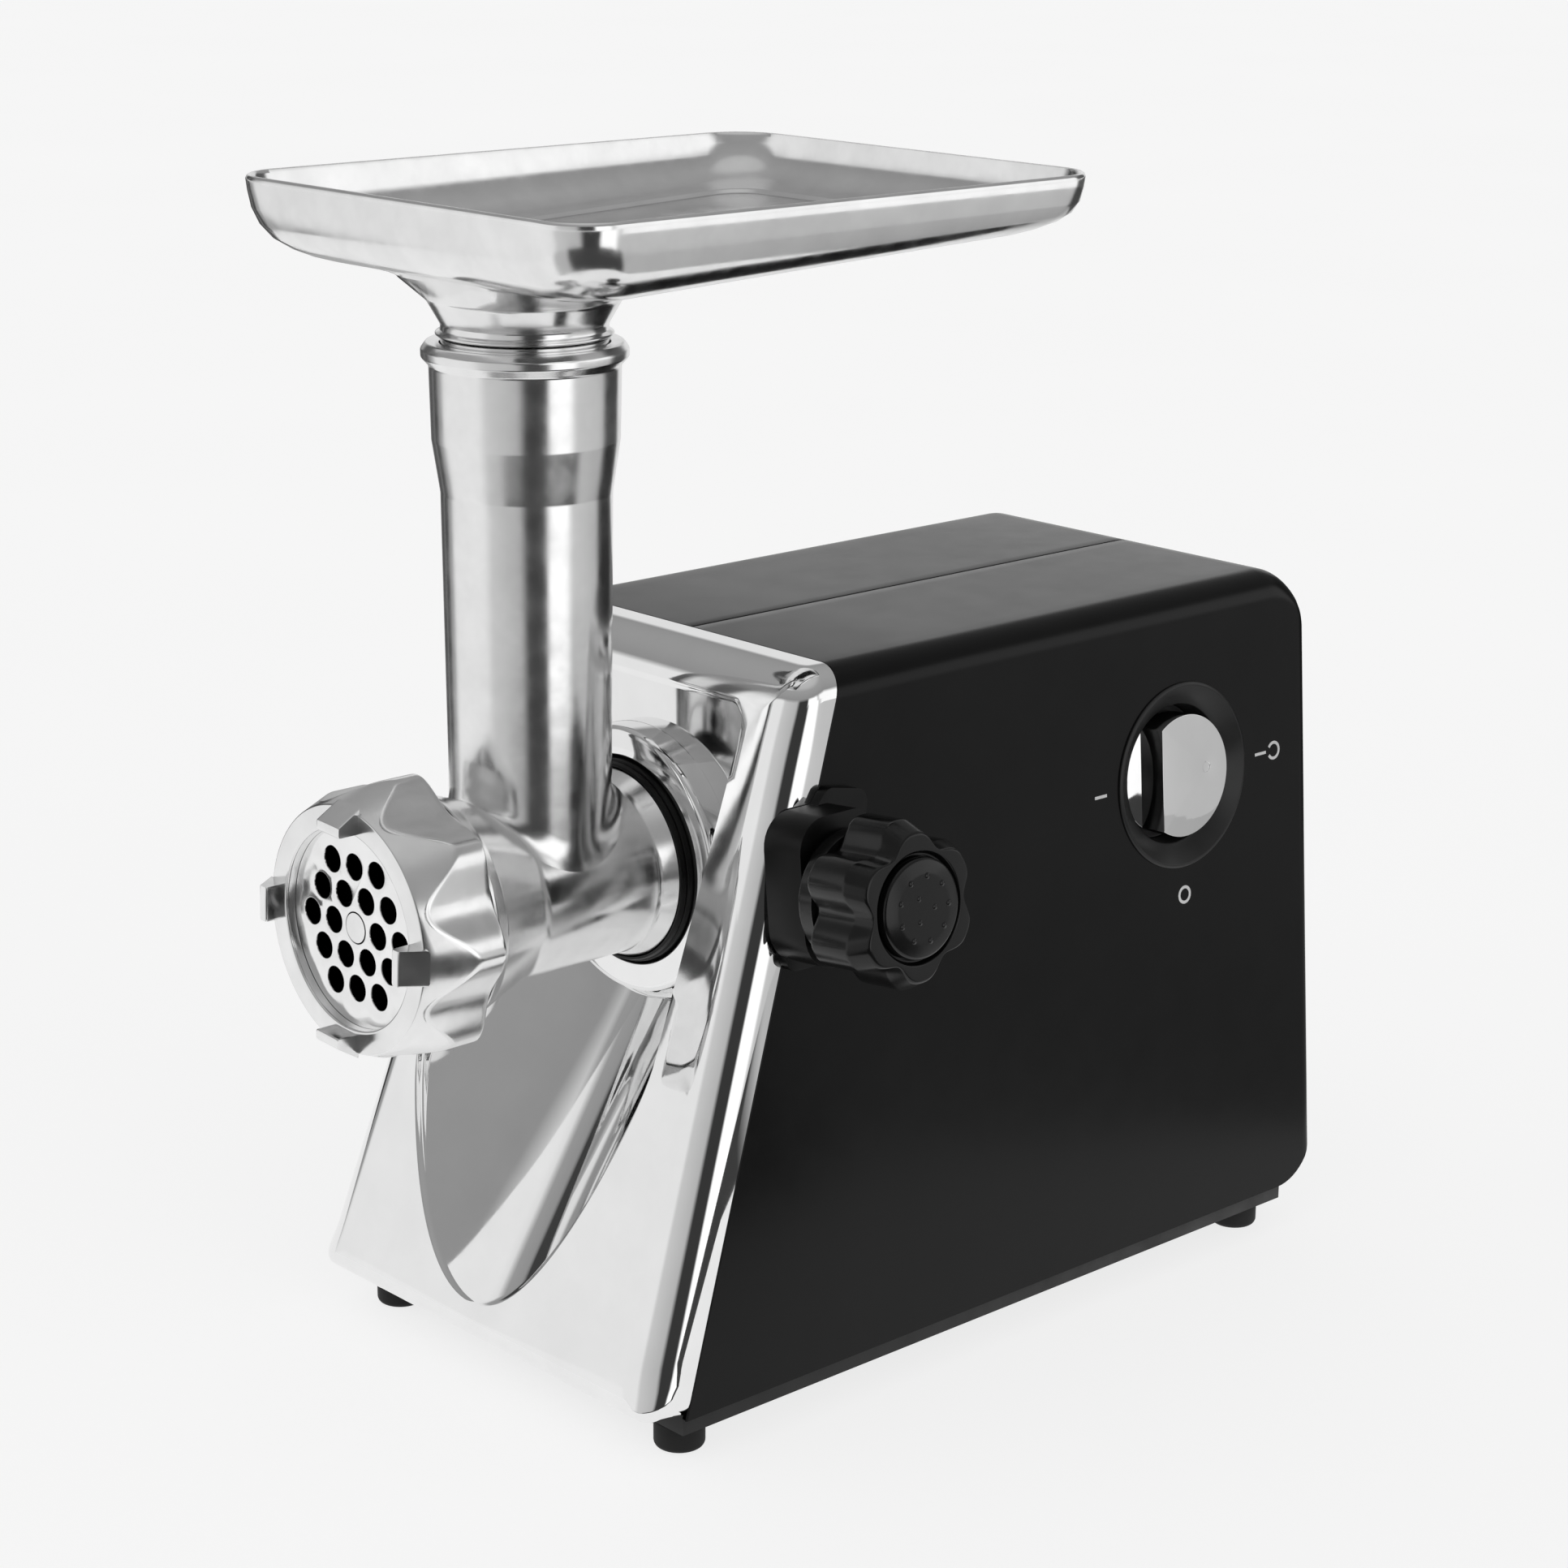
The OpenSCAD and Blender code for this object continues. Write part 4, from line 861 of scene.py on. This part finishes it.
def lock():
    knob = turned("lock_knob_look", [
        (3.7, 81.6, 0), (SKIRT_R, 81.6, 1.0), (SKIRT_R, 87.0, 0.6), (KNOB_R, 89.0, 1.6), (KNOB_R, 102.5, 2.5),
        (19.6, KNOB_FACE, 1.4), (14.8, KNOB_FACE, 0.7), (14.2, KNOB_FACE - 1.6, 0.4),
        (13.7, KNOB_FACE - 1.6, 0), (13.7, KNOB_FACE - 3, 0), (3.7, KNOB_FACE - 3, 0)],
        along_lock, 192, knob_wave, 6)
    place_piece(knob, "lock", "lock_knob", "knob_gloss", "black_plastic")
    cap = turned("lock_cap_look", [
        (0.01, KNOB_FACE - 2.9, 0), (13.3, KNOB_FACE - 2.9, 0), (13.3, KNOB_FACE + 1.0, 1.2),
        (9, KNOB_FACE + 2.0, 6), (0.01, KNOB_FACE + 2.1, 0)], along_lock, 96)
    place_piece(cap, "lock", "lock_knob_cap", "knob_gloss", "black_plastic")
    spots = [(3.6, 120 * k) for k in range(3)] + [(8.6, 40 * k) for k in range(9)]
    for number, (r, turn) in enumerate(spots):
        y, z = r * math.cos(math.radians(turn)), r * math.sin(math.radians(turn))
        dot = turned(f"lock_cap_dot_{number + 1}", [
            (0.01, KNOB_FACE + 1.4, 0), (0.9, KNOB_FACE + 1.4, 0), (0.9, KNOB_FACE + 2.1, 0.35),
            (0.01, KNOB_FACE + 2.45, 0)], lambda a, u, v: along_lock(a, u + y, v + z), 24)
        place_piece(dot, "lock", "lock_knob_cap", "knob_gloss", "black_plastic")


# ---- switch --------------------------------------------------------------------------------------

def switch():
    dish = turned("switch_dish_look", [
        (DISH_R, -0.3, 0), (DISH_R, 0.5, 0.4), (DISH_R - 1.0, 0.9, 0.5), (20.4, -3, 1.0), (20.2, -11, 0.5),
        (4.6, -11, 0), (4.6, -13, 0), (25.7, -13, 0), (25.7, -0.3, 0)], along_switch)
    place_piece(dish, "machine", "switch_dish", "black_plastic")
    knob = refined("switch_knob", 1.1, 4)
    place_piece(knob, "switch", "switch_knob", "chrome")
    marks()


def marks():
    """Generic printed marks at the switch's three positions: two ticks, a ring and an arc."""
    strokes = []
    for angle, kind in ((180, "tick"), (270, "ring"), (0, "tick")):
        a = math.radians(angle)
        if kind == "tick":
            strokes.append([(r * math.cos(a), r * math.sin(a)) for r in (32.5, 37.5)])
        else:
            centre = (36 * math.cos(a), 36 * math.sin(a))
            strokes.append([
                (centre[0] + 2.3 * math.cos(t), centre[1] + 2.3 * math.sin(t)) for t in turns(RING_POINTS)])
    strokes.append(arc_arrow())
    points, faces = [], []
    for stroke in strokes:
        closed = len(stroke) == RING_POINTS
        ribbon(stroke, 0.45, closed, points, faces)
    piece = mesh_object("switch_marks", points, faces)
    piece.data.materials.append(MATERIALS["terminal_white"])
    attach(piece, "machine")


def arc_arrow():
    """A curved stroke beside the reverse position."""
    angles = [math.radians(a) for a in range(-150, 151, 15)]
    return [(41 + 2.4 * math.cos(t), 2.4 * math.sin(t)) for t in angles]


def ribbon(line, half, closed, points, faces):
    """A thin raised stroke along a line on the switch's wall plane."""
    first = len(points)
    n = len(line)
    for i, (u, v) in enumerate(line):
        before = line[i - 1] if (i or closed) else line[i]
        after = line[(i + 1) % n] if (i < n - 1 or closed) else line[i]
        run = Vector((after[0] - before[0], after[1] - before[1])).normalized()
        side = Vector((-run.y, run.x)) * half
        for a in (-0.05, 0.06):
            points.append(along_switch(a, u + side.x, v + side.y))
            points.append(along_switch(a, u - side.x, v - side.y))
    for i in range(n if closed else n - 1):
        j = first + i * 4
        k = first + ((i + 1) % n) * 4
        faces += [(j + 2, j + 3, k + 3, k + 2), (j, j + 2, k + 2, k)]
        faces += [(j + 1, k + 1, k + 3, j + 3), (j, k, k + 1, j + 1)]
    if not closed:
        for j in (first, first + (n - 1) * 4):
            faces.append((j, j + 1, j + 3, j + 2))


# ---- housing -------------------------------------------------------------------------------------

WALL = 2.6
REAR_R = 17.0
SEAM_HALF = 0.15
SCREWS = ((-24, 186), (-24, 32), (-122, 188), (-156, 26))


def housing_section(low, high, inset):
    """One half's outline from its bottom edge to the seam along the top, as (x, z) points."""
    foot = Vector((half_w(low) - inset, low))
    corner = Vector((half_w(high) - inset, high - inset))
    seam = Vector((SEAM_HALF, high - inset))
    radius = max(EDGE_R - inset, 1.0)
    down, across_top = (foot - corner).normalized(), Vector((-1, 0))
    half = down.angle(across_top) / 2
    centre = corner + (down + across_top).normalized() * radius / math.sin(half)
    start = corner + down * radius / math.tan(half) - centre
    first = math.atan2(start.y, start.x)
    turn = math.pi / 2 - first
    angles = [first + turn * k / 12 for k in range(13)]
    arc = [centre + radius * Vector((math.cos(a), math.sin(a))) for a in angles]
    side = [foot.lerp(arc[0], k / 16) for k in range(16)]
    top = [arc[-1].lerp(seam, k / 12) for k in range(1, 12)]
    lip = [seam + Vector(step) for step in ((0.55, 0), (0.2, -0.08), (0, -0.35), (0, -1.2))]
    return side + arc + top + lip


def housing_shell(side):
    """One half of the housing, leaning with the bezel at its front and rounded at its rear."""
    rings = []
    front_edge = [(0.0, 0.45), (0.0006, 0.15), (0.0016, 0.03), (0.003, 0)]
    for share, inset in front_edge + [(0.25, 0), (0.5, 0), (0.75, 0), (1.0, 0)]:
        ring = []
        for p in housing_section(HOUSING_Z, HOUSING_TOP, inset):
            start = seam_y(p.y) + 0.1
            ring.append((p.x, start + (-REAR_R - start) * share, p.y))
        rings.append(ring)
    for k in range(1, 15):
        angle = math.pi / 2 * k / 14
        drop = REAR_R * (1 - math.cos(angle))
        y = -REAR_R + REAR_R * math.sin(angle)
        inset = 4 * (1 - math.sqrt(max(1 - max(0, (y + 4) / 4) ** 2, 0)))
        rings.append([(p.x, y, p.y) for p in housing_section(HOUSING_Z + drop, HOUSING_TOP - drop, inset)])
    last = rings[-1]
    # Known fault: along their top stretch these rings collapse onto a line, and the rear face is torn there.
    for share in (0.4, 0.8, 1.0):
        rings.append([(x + (SEAM_HALF - x) * share, y, z) for x, y, z in last])
    n = len(last)
    points = [at(side * x, y, z) for ring in rings for x, y, z in ring]
    faces = []
    for j in range(len(rings) - 1):
        for i in range(n - 1):
            faces.append((j * n + i, j * n + i + 1, (j + 1) * n + i + 1, (j + 1) * n + i))
    piece = mesh_object("shell", points, faces)
    thick = piece.modifiers.new("thick", "SOLIDIFY")
    thick.thickness = WALL * MM
    thick.offset = -1
    return piece


def rod(name, r, a0, a1, place, y=0.0, z=0.0):
    corners = [(0.01, a0, 0), (r, a0, 0), (r, a1, 0), (0.01, a1, 0)]
    return turned(name, corners, lambda a, u, v: place(a, u + y, v + z), 48)


def vents():
    out = []
    for i in range(11):
        x = (i - 5) * 8.0
        corners = [(x - 1.5, 100, 1.4), (x + 1.5, 100, 1.4), (x + 1.5, 152, 1.4), (x - 1.5, 152, 1.4)]
        slot = fillet(corners, True, 4)
        out.append(prism("vent", slot, lambda u, v, s: at(u, s - 2, v), 6, 0.01))
    return out


def housing():
    right = cut(housing_shell(1), vents() + [
        rod("dish_room", DISH_R - 1.2, -20, 20, along_switch), rod("lock_room", 4.1, 36, 90, along_lock)])
    right.name = "housing_right_look"
    place_piece(right, "machine", "housing_right", "housing_gloss")
    tools = vents() + [rod("cord_room", 8, -20, 20, lambda a, u, v: at(u - 32, a, v + 48))]
    for y, z in SCREWS:
        tools.append(rod("screw_room", 4, half_w(z) - 2.5, half_w(z) + 9, lambda a, u, v: at(-a, u, v), y, z))
    left = cut(housing_shell(-1), tools)
    left.name = "housing_left_look"
    place_piece(left, "machine", "housing_left", "housing_gloss")


# ---- pieces refined from the CAD shapes ----------------------------------------------------------

REFINED = {
    "cutting_plate": (0.35, 2), "lock_bracket": (0.7, 3),
    "lock_washer": (0.2, 2), "base_plate": (0.6, 2),
    "feet": (0.7, 3), "cord_gland": (0.6, 3), "housing_screws": (0.3, 2), "base_screws": (0.3, 2),
    "knife": (0.3, 2),
}


SPECIAL = {"cutting_plate": "plate_steel", "lock_bracket": "ring_black"}


def refined_pieces():
    slots = {part["node"]: part["material_slot"] for part in SUBPARTS}
    for node, (width, segments) in REFINED.items():
        piece = refined(node, width, segments)
        place_piece(piece, body_of_node(node), node, SPECIAL.get(node, slots[node]), slots[node])


# ---- stage ---------------------------------------------------------------------------------------

CAMERA_AZIMUTH = math.radians(47.27)
CAMERA_ELEVATION = math.radians(16.10)
CAMERA_ROLL = math.radians(0.458)
CAMERA_DISTANCE = 1.00687
CAMERA_TARGET = (0.0, -155.5, 152.75)


def camera():
    data = bpy.data.cameras.new("camera")
    data.lens = 80.91
    data.sensor_width = 36
    data.clip_end = 200
    eye = bpy.data.objects.new("camera", data)
    bpy.context.scene.collection.objects.link(eye)
    target = at(*CAMERA_TARGET)
    back = Vector((
        math.sin(CAMERA_AZIMUTH) * math.cos(CAMERA_ELEVATION),
        -math.cos(CAMERA_AZIMUTH) * math.cos(CAMERA_ELEVATION),
        math.sin(CAMERA_ELEVATION),
    ))
    eye.location = target + back * CAMERA_DISTANCE
    eye.rotation_mode = "QUATERNION"
    eye.rotation_quaternion = (-back).to_track_quat("-Z", "Y") @ Quaternion((0, 0, 1), CAMERA_ROLL)
    bpy.context.scene.camera = eye


def floor():
    material, tree, shader = blank("floor_paper")
    tone = ramp(tree, noise(tree, 3.0, 2.0), [(0.2, grey(0.29)), (0.8, grey(0.31))])
    tree.links.new(tone, shader.inputs["Base Color"])
    shader.inputs["Roughness"].default_value = 0.9
    shader.inputs["Specular IOR Level"].default_value = 0.0
    shader.inputs["Emission Color"].default_value = (1, 1, 1, 1)
    shader.inputs["Emission Strength"].default_value = 0.79
    half = 60.0
    signs = ((-1, -1), (1, -1), (1, 1), (-1, 1))
    corners = [Vector((x * half, y * half, -0.0002)) for x, y in signs]
    piece = mesh_object("floor", corners, [(0, 1, 2, 3)])
    piece.data.materials.append(material)


# Brightness of the reflected screens by azimuth in degrees, with 0 towards the camera. Chosen by comparing
# renders with the photo from the camera's own angle.
BEHIND = [
    (-180, 0.8), (-165, 0.8), (-160, 0.42), (-151, 0.38), (-150, 0.07), (-134, 0.07), (-132, 0.22),
    (-129, 0.22), (-128, 0.05), (-118, 0.05), (-116, 0.3), (-108, 0.34), (-104, 0.8), (-100, 0.86),
    (-54, 0.86), (-46, 0.62), (-12, 0.5), (-4, 0.04), (20, 0.04), (25, 1.3), (50, 1.3), (58, 0.62)]
STUDIO = BEHIND + [(106, 0.5), (114, 0.04), (148, 0.06), (156, 0.8), (180, 0.8)]
UPPER_STUDIO = BEHIND + [(66, 1.1), (108, 1.1), (116, 0.1), (148, 0.1), (156, 0.8), (180, 0.8)]
GROUND_STUDIO = [
    (-180, 0.9), (-60, 0.9), (-52, 0.5), (-34, 0.5), (-28, 0.05), (62, 0.05), (70, 0.5), (120, 0.35),
    (180, 0.9)]
WALL_R = 0.62
WALL_MIDDLE = 0.2
WALL_TOP = 0.31
GROUND_R = 0.26
SCREEN_FOOT = 0.0005
SCREEN_SIDES = 180


def azimuth_share(tree, source):
    """Azimuth of a direction or a place about the object, from 0 to 1, with 0.5 towards the camera."""
    ahead = dot_with(tree, source, (math.sin(CAMERA_AZIMUTH), -math.cos(CAMERA_AZIMUTH), 0))
    aside = dot_with(tree, source, (math.cos(CAMERA_AZIMUTH), math.sin(CAMERA_AZIMUTH), 0))
    turn = tree.nodes.new("ShaderNodeMath")
    turn.operation = "ARCTAN2"
    tree.links.new(aside, turn.inputs[0])
    tree.links.new(ahead, turn.inputs[1])
    return spread(tree, turn.outputs[0], 0, 1, -math.pi, math.pi)


def panels(tree, source, stops):
    return ramp(tree, azimuth_share(tree, source), [((a + 180) / 360, grey(v)) for a, v in stops])


def screens(name, stops, edges):
    """A round of light and dark screens that only shows in reflections, as round metal in a studio."""
    material = bpy.data.materials.new(name)
    material.use_nodes = True
    tree = material.node_tree
    tree.nodes.remove(tree.nodes["Principled BSDF"])
    light = tree.nodes.new("ShaderNodeEmission")
    where = tree.nodes.new("ShaderNodeTexCoord")
    tree.links.new(panels(tree, where.outputs["Object"], stops), light.inputs["Color"])
    tree.links.new(light.outputs["Emission"], tree.nodes["Material Output"].inputs["Surface"])
    rings = [[Vector((r * math.cos(a), r * math.sin(a), z)) for a in turns(SCREEN_SIDES)] for r, z in edges]
    points, faces = skin_rings(rings, False)
    piece = mesh_object(name, points, faces)
    piece.data.materials.append(material)
    piece.visible_camera = False
    piece.visible_diffuse = False
    piece.visible_shadow = False


def world():
    """The same screens carried upwards, with a soft light overhead."""
    sky = bpy.data.worlds.new("studio")
    bpy.context.scene.world = sky
    sky.use_nodes = True
    tree = sky.node_tree
    shader = tree.nodes["Background"]
    where = tree.nodes.new("ShaderNodeTexCoord")
    height = dot_with(tree, where.outputs["Generated"], (0, 0, 1))
    wall = panels(tree, where.outputs["Generated"], UPPER_STUDIO)
    upper = ramp(tree, height, [(0.36, grey(0)), (0.47, grey(1))])
    roof = ramp(tree, height, [(0.5, grey(0.3)), (0.8, grey(0.36)), (0.9, grey(0.5)), (1.0, grey(0.55))])
    mix = tree.nodes.new("ShaderNodeMix")
    mix.data_type = "RGBA"
    tree.links.new(upper, mix.inputs["Factor"])
    tree.links.new(wall, mix.inputs["A"])
    tree.links.new(roof, mix.inputs["B"])
    tree.links.new(mix.outputs["Result"], shader.inputs["Color"])
    shader.inputs["Strength"].default_value = 1.0


def dot_with(tree, source, direction):
    node = tree.nodes.new("ShaderNodeVectorMath")
    node.operation = "DOT_PRODUCT"
    node.inputs[1].default_value = direction
    tree.links.new(source, node.inputs[0])
    return node.outputs["Value"]


def main():
    dress_nodes()
    refined_pieces()
    housing()
    front_bezel()
    socket()
    head()
    ring_nut()
    tray()
    lock()
    switch()
    camera()
    floor()
    screens("wall_screens", STUDIO, [(WALL_R, SCREEN_FOOT), (WALL_R, WALL_MIDDLE)])
    screens("upper_screens", UPPER_STUDIO, [(WALL_R, WALL_MIDDLE), (WALL_R, WALL_TOP)])
    screens("ground_screens", GROUND_STUDIO, [(GROUND_R, SCREEN_FOOT), (WALL_R, SCREEN_FOOT)])
    world()
    bpy.context.scene.view_settings.view_transform = "Standard"


main()
